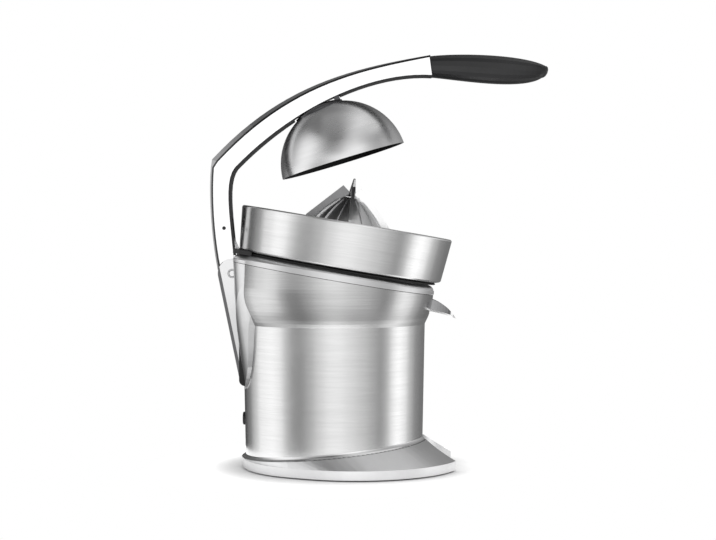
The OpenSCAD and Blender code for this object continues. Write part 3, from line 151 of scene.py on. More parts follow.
class Sock:
    """A shader value with the usual arithmetic, so that a finish reads like a formula."""

    def __init__(self, graph: Graph, socket: bpy.types.NodeSocket) -> None:
        """Keep the value's socket and the graph that it belongs to."""
        self.graph = graph
        self.socket = socket

    def _math(self, operation: str, *operands: Value, clamp: bool = False) -> Sock:
        """Add one Math node.

        Args:
            operation: Name of the operation.
            operands: Its operands in order, values or numbers.
            clamp: Whether the result is held between 0 and 1.

        Returns:
            The node's output.
        """
        settings = {"operation": operation, "use_clamp": clamp}
        inputs = {f"i{place}": operand for place, operand in enumerate(operands)}
        return self.graph.out(self.graph.node("ShaderNodeMath", settings, **inputs))

    def __add__(self, other: Value) -> Sock:
        """Return the sum."""
        return self._math("ADD", self, other)

    def __radd__(self, other: Value) -> Sock:
        """Return the sum with a number on the left."""
        return self._math("ADD", other, self)

    def __sub__(self, other: Value) -> Sock:
        """Return the difference."""
        return self._math("SUBTRACT", self, other)

    def __rsub__(self, other: Value) -> Sock:
        """Return a number less this value."""
        return self._math("SUBTRACT", other, self)

    def __mul__(self, other: Value) -> Sock:
        """Return the product."""
        return self._math("MULTIPLY", self, other)

    def __rmul__(self, other: Value) -> Sock:
        """Return the product with a number on the left."""
        return self._math("MULTIPLY", other, self)

    def __truediv__(self, other: Value) -> Sock:
        """Return the quotient."""
        return self._math("DIVIDE", self, other)

    def __rtruediv__(self, other: Value) -> Sock:
        """Return a number over this value."""
        return self._math("DIVIDE", other, self)

    def root(self) -> Sock:
        """Return the square root."""
        return self._math("SQRT", self)

    def atan2(self, other: Sock) -> Sock:
        """Return the angle of this over the other, in radians."""
        return self._math("ARCTAN2", self, other)

    def clamped(self) -> Sock:
        """Return the value held between 0 and 1."""
        return self._math("ADD", self, 0.0, clamp=True)

    def step(self, low: float, high: float) -> Sock:
        """Return a smooth step from 0 at low to 1 at high.

        Args:
            low: Value where the step starts.
            high: Value where it ends.

        Returns:
            The eased value.
        """
        settings = {"interpolation_type": "SMOOTHSTEP"}
        node = self.graph.node("ShaderNodeMapRange", settings, Value=self, From_Min=low, From_Max=high)
        return self.graph.out(node, "Result")


class Graph:
    """Builder of one node tree."""

    def __init__(self, tree: bpy.types.NodeTree) -> None:
        """Keep the tree to build in."""
        self.tree = tree

    def node(self, kind: str, settings: Optional[Dict[str, Any]] = None, **values: Any) -> bpy.types.Node:
        """Add a node.

        Args:
            kind: The node's type.
            settings: Its own settings, such as a ramp's stops, set before its sockets.
            values: Values or links of its inputs, by name with underscores for blanks, or i0, i1 by place.

        Returns:
            The node.
        """
        node = self.tree.nodes.new(kind)
        for name, value in (settings or {}).items():
            if name == "stops":
                self.set_stops(node.color_ramp, value)
            else:
                setattr(node, name, value)
        for name, value in values.items():
            slot = node.inputs[int(name[1:]) if name[1:].isdigit() else name.replace("_", " ")]
            if isinstance(value, (Sock, bpy.types.NodeSocket)):
                self.tree.links.new(value.socket if isinstance(value, Sock) else value, slot)
            else:
                slot.default_value = value
        return node

    @staticmethod
    def set_stops(ramp: bpy.types.ColorRamp, stops: Sequence[Tuple[float, float]]) -> None:
        """Give a ramp its grey stops, eased from one to the next.

        Args:
            ramp: The ramp.
            stops: Place and level of each stop.
        """
        ramp.interpolation = "EASE"
        while len(ramp.elements) > 1:
            ramp.elements.remove(ramp.elements[-1])
        for i, (at, level) in enumerate(stops):
            stop = ramp.elements.new(at) if i else ramp.elements[0]
            stop.position = at
            stop.color = (level, level, level, 1.0)

    def out(self, node: bpy.types.Node, name: Union[str, int] = 0) -> Sock:
        """Return one output of a node as a value."""
        return Sock(self, node.outputs[name])

    def place(self) -> Tuple[Sock, Sock, Sock]:
        """Find the surface point's place in the row frame.

        Returns:
            Its X, Y and Z in metres.
        """
        coords = self.node("ShaderNodeTexCoord")
        split = self.node("ShaderNodeSeparateXYZ", i0=coords.outputs["Object"])
        return self.out(split, 0), self.out(split, 1), self.out(split, 2)

    def vector(self, x: Value, y: Value, z: Value) -> Sock:
        """Join three values into a vector."""
        return self.out(self.node("ShaderNodeCombineXYZ", i0=x, i1=y, i2=z))

    def noise(self, at: Sock, waves: float, finer: float) -> Sock:
        """Add a noise texture.

        Args:
            at: Vector to read it at.
            waves: Waves a metre.
            finer: Strength of the finer octaves.

        Returns:
            The noise, from 0 to 1.
        """
        octaves = PATTERN.octaves
        node = self.node("ShaderNodeTexNoise", Vector=at, Scale=waves, Detail=octaves, Roughness=finer)
        return self.out(node, "Fac")

    def round_axis(self, axis: Axis) -> Tuple[Sock, Sock, Sock]:
        """Return the point's angle, radius and height about an axis.

        Args:
            axis: The axis.

        Returns:
            Angle in radians, radius and height in metres.
        """
        x, y, z = self.place()
        lean = math.radians(axis.lean)
        dx, dz = x - axis.x, z - axis.z
        across = dx * math.cos(lean) - dz * math.sin(lean)
        up = dx * math.sin(lean) + dz * math.cos(lean)
        radius = (across * across + y * y).root()
        return y.atan2(across), radius, up

    def blend(self, share: Sock, low: Rgb, high: Rgb) -> bpy.types.NodeSocket:
        """Mix two colours.

        Args:
            share: Share of the second one.
            low: First colour.
            high: Second colour.

        Returns:
            The mixed colour.
        """
        mix = self.node("ShaderNodeMix", {"data_type": "RGBA"}, i0=share, i6=(*low, 1.0), i7=(*high, 1.0))
        return mix.outputs[2]

    def scaled(self, colour: bpy.types.NodeSocket, factor: Sock) -> bpy.types.NodeSocket:
        """Return a colour times a factor."""
        return self.node("ShaderNodeVectorMath", {"operation": "SCALE"}, i0=colour, Scale=factor).outputs[0]


@dataclass(frozen=True)
class PaintedShading:
    """A painted change of light and shade over a finish.

    Attributes:
        start: Height or distance where the change starts, in metres.
        end: Height or distance where it ends, in metres.
        factor: What the tone is multiplied by on the changed side.
    """

    start: float
    end: float
    factor: float


@dataclass(frozen=True)
class Finish:
    """One surface finish.

    Attributes:
        name: Name of the material.
        low: Colour in the hollows of its pattern.
        high: Colour on the crests of its pattern.
        rough: Roughness.
        rough_swing: How far the pattern moves the roughness.
        metal: Whether it is bare metal.
        grain: Way that its brushing runs.
        grain_m: Width of a brush line or a grain, in metres.
        bump: Depth of its relief, in metres.
        coat: Strength of a clear coat.
        handled: How much finger marks move the roughness.
        below: Painted light and shade by height, with the changed side at and below its start.
        beyond: Painted light and shade by distance from the middle plane, with the changed side at and
            beyond its end.
    """

    name: str
    low: Rgb
    high: Rgb
    rough: float
    rough_swing: float = 0.06
    metal: bool = True
    grain: Grain = Grain.NONE
    grain_m: float = 0.0007
    bump: float = 0.000006
    coat: float = 0.0
    handled: float = 0.03
    below: Optional[PaintedShading] = None
    beyond: Optional[PaintedShading] = None

    def build(self) -> bpy.types.Material:
        """Make the material.

        Returns:
            The new material.
        """
        material = bpy.data.materials.new(self.name)
        material.use_nodes = True
        graph = Graph(material.node_tree)
        shader = material.node_tree.nodes["Principled BSDF"]
        shader.inputs["Metallic"].default_value = 1.0 if self.metal else 0.0
        shader.inputs["Coat Weight"].default_value = self.coat
        shader.inputs["Coat Roughness"].default_value = PATTERN.coat_rough
        pattern, fine = self.pattern(graph)
        marks = graph.noise(graph.vector(*graph.place()), PATTERN.mark_waves, PATTERN.finer)
        marks = marks.step(PATTERN.mark_start, PATTERN.mark_end)
        rough = self.rough - (pattern - 0.5) * self.rough_swing + marks * self.handled
        bump = graph.node("ShaderNodeBump", Strength=PATTERN.relief, Distance=self.bump, Height=fine)
        tone = self.tinted(graph, graph.blend(pattern, self.low, self.high))
        for name, value in (
            ("Base Color", tone),
            ("Roughness", rough.socket),
            ("Normal", bump.outputs["Normal"]),
        ):
            graph.tree.links.new(value, shader.inputs[name])
        return material

    def tinted(self, graph: Graph, tone: bpy.types.NodeSocket) -> bpy.types.NodeSocket:
        """Paint light and shade into the tone by place.

        Args:
            graph: The material's node tree.
            tone: The tone before the changes.

        Returns:
            The tone after them.
        """
        if self.below:
            above = graph.place()[2].step(self.below.start, self.below.end)
            tone = graph.scaled(tone, above * (1.0 - self.below.factor) + self.below.factor)
        if self.beyond:
            y = graph.place()[1]
            outside = (y * y).root().step(self.beyond.start, self.beyond.end)
            tone = graph.scaled(tone, outside * (self.beyond.factor - 1.0) + 1.0)
        return tone

    def pattern(self, graph: Graph) -> Tuple[Sock, Sock]:
        """Draw the finish's pattern.

        Args:
            graph: The material's node tree.

        Returns:
            Its broad pattern, from 0 to 1, and its fine relief.
        """
        spec = PATTERN
        waves = 1.0 / self.grain_m
        if self.grain is Grain.NONE:
            at = graph.vector(*graph.place())
            fine = graph.noise(at, waves, spec.finer)
            broad = graph.noise(at, spec.cloud_waves, spec.finer)
            share = spec.cloud_share
        else:
            angle, radius, up = graph.round_axis(AXES[self.grain])
            fine = graph.noise(graph.vector(angle * spec.line_round, radius, up), waves, spec.brush_finer)
            streaks = graph.vector(angle * spec.streak_round, radius * spec.streak_across, up)
            broad = graph.noise(streaks, spec.streak_waves, spec.finer)
            share = spec.streak_share
        return (broad * share + fine * (1.0 - share)).step(spec.hollow, spec.crest), fine


@dataclass(frozen=True)
class Palette:
    """Every finish: those of the record's material slots, and those of single faces, most of which are
    painted light and shade.
    """

    # Painted light and shade: the shell's tone is 1.25 times brighter below its shoulder, so it shows a
    # fifth darker above it.
    shell: Finish = Finish(
        "shell_steel",
        (0.64, 0.64, 0.64),
        (0.72, 0.72, 0.72),
        0.20,
        grain=Grain.ROUND_BODY,
        bump=0.000015,
        below=PaintedShading(0.1605, 0.1640, 1.25),
    )
    bowl: Finish = Finish(
        "bowl_steel", (0.82, 0.82, 0.82), (0.93, 0.93, 0.93), 0.19, grain=Grain.ROUND_BOWL, bump=0.000011
    )
    casting: Finish = Finish("satin_casting", (0.80, 0.80, 0.805), (0.88, 0.88, 0.885), 0.36)
    arm: Finish = Finish("polished_arm", (0.92, 0.92, 0.925), (0.97, 0.97, 0.97), 0.13, bump=0.000002)
    dome: Finish = Finish(
        "satin_dome", (0.84, 0.84, 0.845), (0.90, 0.90, 0.905), 0.28, grain=Grain.ROUND_DOME, bump=0.000003
    )
    # Painted reflection and shade: every face of the polished arm but its flat sides drawn mid grey, near
    # black beyond 13 mm from the middle plane.
    arm_edge: Finish = Finish(
        "arm_edge",
        (0.46, 0.46, 0.465),
        (0.52, 0.52, 0.525),
        0.16,
        bump=0.000002,
        beyond=PaintedShading(0.0126, 0.0130, 0.16),
    )
    # Painted shade: the back edge of the arm's leg drawn dark, 2.9 times lighter beyond 12 mm from the
    # middle plane.
    leg_edge: Finish = Finish(
        "leg_edge",
        (0.22, 0.22, 0.225),
        (0.27, 0.27, 0.275),
        0.16,
        bump=0.000002,
        beyond=PaintedShading(0.0118, 0.0122, 2.9),
    )
    # The light metal of the rocker and the knuckle pin, with painted shade darkening it to 0.82 towards the
    # foot.
    rocker_face: Finish = Finish(
        "rocker_face",
        (0.80, 0.80, 0.805),
        (0.86, 0.86, 0.865),
        0.18,
        bump=0.000002,
        below=PaintedShading(0.10, 0.22, 0.82),
    )
    # Painted shade: the rocker's edges drawn as a dark copy of its metal.
    rocker_edge: Finish = Finish(
        "rocker_edge", (0.22, 0.22, 0.225), (0.28, 0.28, 0.285), 0.20, bump=0.000002
    )
    # Painted shadow and shade: the column near black within 21 mm of the middle plane beside the rocker's
    # slot, light beyond 25 mm, and darker towards the foot.
    column: Finish = Finish(
        "column_steel_painted_shade",
        (0.060, 0.060, 0.0604),
        (0.070, 0.070, 0.0704),
        0.20,
        below=PaintedShading(0.08, 0.21, 0.45),
        beyond=PaintedShading(0.0215, 0.0255, 12.2),
    )
    dark_slot: Finish = Finish("dark_slot", (0.05, 0.05, 0.052), (0.08, 0.08, 0.082), 0.45)
    # Painted shade: the dome's hollow side drawn as a near-black copy of its metal.
    dome_inside: Finish = Finish("dome_inside", (0.02, 0.02, 0.021), (0.035, 0.035, 0.036), 0.50)
    # Painted highlight: the base's fillet drawn as a brighter copy of the satin casting.
    fillet: Finish = Finish("fillet_painted_highlight", (0.93, 0.93, 0.935), (0.97, 0.97, 0.97), 0.22, bump=0.000002)
    # Painted shade: a dark ring on the base in the crease round the shell's foot.
    base_line: Finish = Finish("base_line", (0.24, 0.24, 0.245), (0.30, 0.30, 0.305), 0.30)
    # Painted highlight: the flat sides of the cone's front fins drawn near white.
    fin_light: Finish = Finish("fin_light", (0.97, 0.97, 0.97), (0.99, 0.99, 0.99), 0.20, bump=0.000002)
    # Painted shade: the spout's sides drawn as a dark copy of its steel.
    spout_side: Finish = Finish("spout_side", (0.30, 0.30, 0.305), (0.40, 0.40, 0.405), 0.22)
    # Painted shade: the flat sides of the cone's rear fins drawn mid grey.
    fin_shade: Finish = Finish("fin_shade", (0.27, 0.27, 0.275), (0.33, 0.33, 0.335), 0.34)
    cone: Finish = Finish("cone_metal", (0.88, 0.88, 0.885), (0.95, 0.95, 0.955), 0.36)
    strainer: Finish = Finish(
        "strainer_steel", (0.68, 0.68, 0.69), (0.80, 0.80, 0.81), 0.26, grain=Grain.ROUND_BOWL
    )
    spout: Finish = Finish("spout_steel", (0.84, 0.84, 0.84), (0.92, 0.92, 0.92), 0.16)
    black: Finish = Finish(
        "black_plastic",
        (0.010, 0.010, 0.011),
        (0.020, 0.020, 0.022),
        0.38,
        metal=False,
        grain_m=0.0011,
        bump=0.00003,
    )
    grip: Finish = Finish(
        "grip_black",
        (0.010, 0.010, 0.011),
        (0.018, 0.018, 0.020),
        0.34,
        metal=False,
        grain_m=0.0009,
        bump=0.00002,
        coat=0.2,
    )
    dark: Finish = Finish("dark_metal", (0.07, 0.07, 0.075), (0.13, 0.13, 0.135), 0.34)
    rubber: Finish = Finish(
        "seal_rubber",
        (0.012, 0.012, 0.012),
        (0.030, 0.030, 0.030),
        0.75,
        metal=False,
        grain_m=0.0006,
        bump=0.00004,
    )
    steel: Finish = Finish("plain_steel", (0.55, 0.55, 0.56), (0.68, 0.68, 0.69), 0.24)
    brass: Finish = Finish("bush_brass", (0.58, 0.42, 0.18), (0.70, 0.54, 0.26), 0.28)
    gear: Finish = Finish("gear_plastic", (0.68, 0.66, 0.60), (0.78, 0.76, 0.70), 0.45, metal=False)
    board: Finish = Finish("board_green", (0.03, 0.16, 0.07), (0.06, 0.24, 0.11), 0.35, metal=False)

    def by_slot(self) -> Dict[str, Finish]:
        """Name the finish of each material slot of the record.

        Returns:
            Finish by slot.
        """
        return {
            "brushed_shell": self.shell,
            "brushed_bowl": self.bowl,
            "satin_casting": self.casting,
            "polished_arm": self.arm,
            "satin_dome": self.dome,
            "cone_metal": self.cone,
            "strainer_steel": self.strainer,
            "spout_steel": self.spout,
            "black_plastic": self.black,
            "grip_black": self.grip,
            "dark_metal": self.dark,
            "seal_rubber": self.rubber,
            "plain_steel": self.steel,
            "bush_brass": self.brass,
            "gear_plastic": self.gear,
            "board_green": self.board,
        }


@dataclass(frozen=True)
class FaceTests:
    """Which faces take a second finish, most of them painted light and shade, told from a face's middle in
    millimetres and its facing.

    Attributes:
        flat_way: Least sideways facing of a flat side of the arm or the rocker.
        back_way: Greatest facing along X of the back edge of the arm's leg.
        leg_top: Height up to which a back edge belongs to the leg.
        spout_way: Least sideways facing of the spout's sides.
        fillet_radius: Radius inside which the base's fillet lies.
        fillet_low: Least upward facing of the fillet.
        fillet_high: Greatest upward facing of the fillet.
        line_inner: Inner radius of the painted shade line round the shell's foot.
        line_outer: Outer radius of that line.
        line_way: Least upward facing of that line.
        fin_middle: Place of the cone's axis along X, at the fins' height.
        fin_way: Least sideways facing of a fin's flat sides.
        dome_middle: Middle of the dome's ball.
        dome_depth: Least inward facing of the dome's inside, times the distance to that middle.
    """

    flat_way: float = 0.97
    back_way: float = -0.6
    leg_top: float = 326.0
    spout_way: float = 0.8
    fillet_radius: float = 100.6
    fillet_low: float = 0.1
    fillet_high: float = 0.85
    line_inner: float = 98.7
    line_outer: float = 100.1
    line_way: float = 0.2
    fin_middle: float = 17.0
    fin_way: float = 0.98
    dome_middle: Point = (11.05, 0.0, 326.73)
    dome_depth: float = 20.0

    def every(self, at: Vector, way: Vector) -> bool:
        """Take every face."""
        return True

    def edge(self, at: Vector, way: Vector) -> bool:
        """Take what isn't a flat side; these faces get painted shade."""
        return abs(way.y) < self.flat_way

    def leg_back(self, at: Vector, way: Vector) -> bool:
        """Take the back edge of the arm's leg, which gets painted shade."""
        return self.edge(at, way) and way.x < self.back_way and at.z < self.leg_top

    def spout_side(self, at: Vector, way: Vector) -> bool:
        """Take the spout's sides, which get painted shade."""
        return abs(way.y) > self.spout_way

    def fillet(self, at: Vector, way: Vector) -> bool:
        """Take the outward fillet at the top of the base, which gets a painted highlight."""
        near = math.hypot(at.x, at.y) < self.fillet_radius
        return near and self.fillet_low < way.z < self.fillet_high and at.x * way.x + at.y * way.y > 0.0

    def base_line(self, at: Vector, way: Vector) -> bool:
        """Take the narrow ring round the shell's foot, which gets painted shade."""
        return self.line_inner < math.hypot(at.x, at.y) < self.line_outer and way.z > self.line_way

    def front_fin(self, at: Vector, way: Vector) -> bool:
        """Take the flat sides of the fins in front of the cone's axis, which get a painted highlight."""
        return at.x >= self.fin_middle and abs(way.y) > self.fin_way

    def rear_fin(self, at: Vector, way: Vector) -> bool:
        """Take the flat sides of the fins behind the cone's axis, which get painted shade."""
        return at.x < self.fin_middle and abs(way.y) > self.fin_way

    def dome_inside(self, at: Vector, way: Vector) -> bool:
        """Take the dome's hollow side, which gets painted shade."""
        return (Vector(self.dome_middle) - at).dot(way) > self.dome_depth


class Dresser:
    """Puts the finishes on the CAD nodes and on the fitted pieces."""

    def __init__(self, palette: Palette) -> None:
        """Keep the palette, with no material made yet.

        Args:
            palette: The finishes to choose from.
        """
        self.palette = palette
        self.slots = palette.by_slot()
        self.made: Dict[str, bpy.types.Material] = {}

    def material(self, finish: Finish) -> bpy.types.Material:
        """Give the material of a finish, made once.

        Args:
            finish: The finish.

        Returns:
            Its material.
        """
        if finish.name not in self.made:
            self.made[finish.name] = finish.build()
        return self.made[finish.name]

    def dress(self, obj: bpy.types.Object, slot: str) -> None:
        """Give an object one finish.

        Args:
            obj: The object.
            slot: The record's material slot.
        """
        obj.data.materials.clear()
        obj.data.materials.append(self.material(self.slots[slot]))

    def dress_faces(
        self, obj: bpy.types.Object, finish: Finish, test: Callable[[Vector, Vector], bool]
    ) -> None:
        """Give some faces of an object a second finish.

        Args:
            obj: The object.
            finish: The second finish.
            test: Says from a face's middle, in millimetres, and its facing whether it takes it.
        """
        obj.data.materials.append(self.material(finish))
        place = len(obj.data.materials) - 1
        for face in obj.data.polygons:
            if test(face.center / MM, face.normal):
                face.material_index = place

    def dress_frame(self, frame: Dict[str, Any]) -> None:
        """Give every CAD node its finish, then the edges and insides theirs, most of them painted light and
        shade.

        Args:
            frame: The loaded frame, with its nodes and its record.
        """
        nodes = frame["nodes"]
        for part in frame["record"]["subparts"]:
            self.dress(nodes[part["node"]], part["material_slot"])
        colours, tests = self.palette, FaceTests()
        for node, finish, test in (
            ("lever_arm", colours.arm_edge, tests.edge),
            ("lever_arm", colours.leg_edge, tests.leg_back),
            ("rocker", colours.rocker_face, tests.every),
            ("rocker", colours.rocker_edge, tests.edge),
            ("rear_column", colours.column, tests.every),
            ("upper_pin", colours.dark_slot, tests.every),
            ("knuckle_pin", colours.rocker_face, tests.every),
            ("spout", colours.spout_side, tests.spout_side),
            ("base_casting", colours.fillet, tests.fillet),
            ("base_casting", colours.base_line, tests.base_line),
            ("reamer_cone", colours.fin_light, tests.front_fin),
            ("reamer_cone", colours.fin_shade, tests.rear_fin),
            ("pressing_dome", colours.dome_inside, tests.dome_inside),
        ):
            self.dress_faces(nodes[node], finish, test)


class Bench:
    """Hand tools for the fitted pieces.

    Attributes:
        sharp: Angle in degrees past which an edge is bevelled.
        smooth_below: Angle in degrees up to which two faces are shaded as one.
        same_way: Least cosine between two directions that count as one.
    """

    sharp: float = 30.0
    smooth_below: float = 32.0
    same_way: float = 0.9

    @staticmethod
    def clear() -> None:
        """Select nothing."""
        bpy.ops.object.select_all(action="DESELECT")

    @classmethod
    def take(cls, obj: bpy.types.Object) -> None:
        """Select one piece alone and make it the active one.

        Args:
            obj: The piece.
        """
        cls.clear()
        obj.select_set(True)
        bpy.context.view_layer.objects.active = obj

    @staticmethod
    def hold(name: str) -> bpy.types.Object:
        """Name the newest object.

        Args:
            name: Its name.

        Returns:
            The object.
        """
        obj = bpy.context.object
        obj.name = name
        obj.data.name = name
        return obj

    @classmethod
    def turn_ring(cls, name: str, corners: Sequence[Tuple[float, float]], steps: int) -> bpy.types.Object:
        """Draw a closed outline out of a circle, edge ring by edge ring.

        Args:
            name: Name of the piece.
            corners: Radius and height of each corner, in millimetres, in order.
            steps: Corners of the circle.

        Returns:
            The ring, round the Z axis.
        """
        outline = [(r * MM, z * MM) for r, z in corners]
        cls.clear()
        bpy.ops.mesh.primitive_circle_add(vertices=steps, radius=outline[0][0], fill_type="NOTHING")
        obj = cls.hold(name)
        bpy.ops.object.mode_set(mode="EDIT")
        bpy.ops.mesh.select_mode(type="EDGE")
        bpy.ops.mesh.select_all(action="SELECT")
        bpy.ops.transform.translate(value=(0.0, 0.0, outline[0][1]))
        for (r0, z0), (r1, z1) in zip(outline, outline[1:]):
            bpy.ops.mesh.extrude_edges_move(TRANSFORM_OT_translate={"value": (0.0, 0.0, z1 - z0)})
            bpy.ops.transform.resize(value=(r1 / r0, r1 / r0, 1.0), center_override=(0.0, 0.0, z1))
        bpy.ops.mesh.select_all(action="DESELECT")
        bpy.ops.mesh.select_non_manifold(
            extend=False, use_wire=False, use_multi_face=False, use_non_contiguous=False
        )
        bpy.ops.mesh.bridge_edge_loops()
        bpy.ops.mesh.select_all(action="SELECT")
        bpy.ops.mesh.normals_make_consistent(inside=False)
        bpy.ops.object.mode_set(mode="OBJECT")
        return obj

    @classmethod
    def round_edges(cls, obj: bpy.types.Object, width: float, segments: int) -> None:
        """Bevel the sharp edges of a piece and apply the modifier.

        Args:
            obj: The piece.
            width: Width of the bevel, in metres.
            segments: Steps of the rounding.
        """
        bevel = obj.modifiers.new("soft_edges", "BEVEL")
        bevel.width = width
        bevel.segments = segments
        bevel.limit_method = "ANGLE"
        bevel.angle_limit = math.radians(cls.sharp)
        bpy.ops.object.modifier_apply(modifier=bevel.name)

    @classmethod
    def smooth(cls, obj: bpy.types.Object) -> None:
        """Shade a piece smooth but for its sharp edges."""
        cls.take(obj)
        bpy.ops.object.shade_smooth_by_angle(angle=math.radians(cls.smooth_below))

    @classmethod
    def settle(cls, obj: bpy.types.Object, place: Point, turn: Point) -> None:
        """Put a piece in its place and keep the place in its mesh.

        Args:
            obj: The piece.
            place: Place of its origin, in metres.
            turn: Its turn about X, Y and Z, in degrees.
        """
        cls.take(obj)
        obj.rotation_euler = Euler([math.radians(a) for a in turn], "XYZ")
        obj.location = place
        bpy.ops.object.transform_apply(location=True, rotation=True, scale=True)

    @classmethod
    def face_like(cls, obj: bpy.types.Object, way: Vector) -> None:
        """Select the faces that look one way, in edit mode by faces.

        Args:
            obj: The piece.
            way: The direction.
        """
        bpy.ops.object.mode_set(mode="OBJECT")
        for part in (obj.data.vertices, obj.data.edges, obj.data.polygons):
            for item in part:
                item.select = False
        for face in obj.data.polygons:
            face.select = face.normal.dot(way) > cls.same_way
        bpy.ops.object.mode_set(mode="EDIT")
        bpy.ops.mesh.select_mode(type="FACE")


@dataclass
class Piece:
    """What the fitted pieces share."""

    dresser: Dresser

    def fit(self, obj: bpy.types.Object, body: str, slot: str) -> None:
        """Give a piece its finish, its slot and the body that it rides.

        Args:
            obj: The piece.
            body: Name of the body.
            slot: Material slot of the record.
        """
        self.dresser.dress(obj, slot)
        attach(obj, body)
        LOG.info("%s on %s, %d faces", obj.name, body, len(obj.data.polygons))


@dataclass
class GripCollar(Piece):
    """Thin dark collar in the seam between the arm and the grip."""

    width: float = 28.5 * MM
    height: float = 22.9 * MM
    length: float = 1.1 * MM
    corner: float = 2.2 * MM
    corner_steps: int = 5
    wall: float = 0.9 * MM
    edge: float = 0.2 * MM
    edge_steps: int = 2
    place: Point = (104.0 * MM, 0.0, 431.6 * MM)
    lean: float = -7.6

    def build(self) -> None:
        """Cut the collar from a block: rounded long edges, open ends, a wall."""
        Bench.clear()
        bpy.ops.mesh.primitive_cube_add(size=1.0)
        collar = Bench.hold("grip_collar")
        bpy.ops.object.mode_set(mode="EDIT")
        bpy.ops.mesh.select_all(action="SELECT")
        size = (self.length, self.width, self.height)
        bpy.ops.transform.resize(value=size, center_override=(0.0, 0.0, 0.0))
        bpy.ops.mesh.select_mode(type="EDGE")
        bpy.ops.mesh.select_all(action="DESELECT")
        bpy.ops.object.mode_set(mode="OBJECT")
        for edge in collar.data.edges:
            a, b = (collar.data.vertices[v].co for v in edge.vertices)
            edge.select = abs((a - b).normalized().x) > Bench.same_way
        bpy.ops.object.mode_set(mode="EDIT")
        bpy.ops.mesh.bevel(offset=self.corner, segments=self.corner_steps, affect="EDGES")
        for end in (1.0, -1.0):
            Bench.face_like(collar, Vector((end, 0.0, 0.0)))
            bpy.ops.mesh.delete(type="FACE")
        bpy.ops.object.mode_set(mode="OBJECT")
        wall = collar.modifiers.new("wall", "SOLIDIFY")
        wall.thickness = self.wall
        wall.offset = -1.0
        bpy.ops.object.modifier_apply(modifier=wall.name)
        Bench.round_edges(collar, self.edge, self.edge_steps)
        Bench.settle(collar, self.place, (0.0, self.lean, 0.0))
        Bench.smooth(collar)
        self.fit(collar, "lever", "black_plastic")


@dataclass
class BowlGasket(Piece):
    """Soft lip between the deck and the bowl's underside, with its outline in millimetres."""

    outline: Outline = (
        (98.6, -5.2),
        (103.0, -5.2),
        (104.6, -4.6),
        (104.4, -3.6),
        (102.4, -3.75),
        (99.2, -4.75),
    )
    axis: Axis = BOWL_AXIS
    steps: int = 128
    edge: float = 0.15 * MM
    edge_steps: int = 2

    def build(self) -> None:
        """Turn the lip round the bowl's axis."""
        gasket = Bench.turn_ring("bowl_gasket", self.outline, self.steps)
        Bench.round_edges(gasket, self.edge, self.edge_steps)
        Bench.settle(gasket, (self.axis.x, 0.0, self.axis.z), (0.0, self.axis.lean, 0.0))
        Bench.smooth(gasket)
        self.fit(gasket, "stand", "seal_rubber")


@dataclass
class FootRing(Piece):
    """Non-slip ring with two grooves in its sole, with its outline in millimetres."""

    inner: float = 76.0
    outer: float = 86.0
    height: float = 3.0
    groove: float = 1.2
    slope: float = 0.3
    grooves: Tuple[Tuple[float, float], ...] = ((78.5, 80.5), (81.9, 83.9))
    steps: int = 128
    edge: float = 0.25 * MM
    edge_steps: int = 2

    def build(self) -> None:
        """Turn the ring round the upright axis."""
        sole: List[Tuple[float, float]] = [(self.inner, self.height), (self.inner, 0.0)]
        for start, end in self.grooves:
            sole += [(start, 0.0), (start + self.slope, self.groove)]
            sole += [(end - self.slope, self.groove), (end, 0.0)]
        sole += [(self.outer, 0.0), (self.outer, self.height)]
        ring = Bench.turn_ring("grooved_foot_ring", sole, self.steps)
        Bench.round_edges(ring, self.edge, self.edge_steps)
        Bench.smooth(ring)
        self.fit(ring, "stand", "seal_rubber")
        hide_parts("foot_ring")


@dataclass
class GlandNut(Piece):
    """Ribbed nut round the cord's way in, with its outline in millimetres."""

    outline: Outline = ((4.3, 0.0), (6.6, 0.0), (6.6, 1.2), (5.6, 2.0), (4.6, 2.0), (4.3, 1.6))
    ribs: int = 16
    rib_steps: int = 4
    rib_lift: float = 1.06
    rib_inside: float = 6.0 * MM
    rib_top: float = 1.4 * MM
    edge: float = 0.1 * MM
    edge_steps: int = 1
    place: Point = (-96.6 * MM, 0.0, 52.0 * MM)
    turn: Point = (0.0, -90.0, 0.0)

    def build(self) -> None:
        """Turn the nut and lift every other stretch of its side into a rib."""
        steps = self.ribs * self.rib_steps
        nut = Bench.turn_ring("gland_nut", self.outline, steps)
        bpy.ops.object.mode_set(mode="EDIT")
        bpy.ops.mesh.select_mode(type="VERT")
        bpy.ops.mesh.select_all(action="DESELECT")
        bpy.ops.object.mode_set(mode="OBJECT")
        for vertex in nut.data.vertices:
            x, y, z = vertex.co
            step = round(math.atan2(y, x) / (2.0 * math.pi) * steps)
            on_rib = step % self.rib_steps < self.rib_steps // 2
            vertex.select = on_rib and math.hypot(x, y) > self.rib_inside and z < self.rib_top
        bpy.ops.object.mode_set(mode="EDIT")
        bpy.ops.transform.resize(value=(self.rib_lift, self.rib_lift, 1.0), center_override=(0.0, 0.0, 0.0))
        bpy.ops.object.mode_set(mode="OBJECT")
        Bench.round_edges(nut, self.edge, self.edge_steps)
        Bench.settle(nut, self.place, self.turn)
        Bench.smooth(nut)
        self.fit(nut, "stand", "black_plastic")


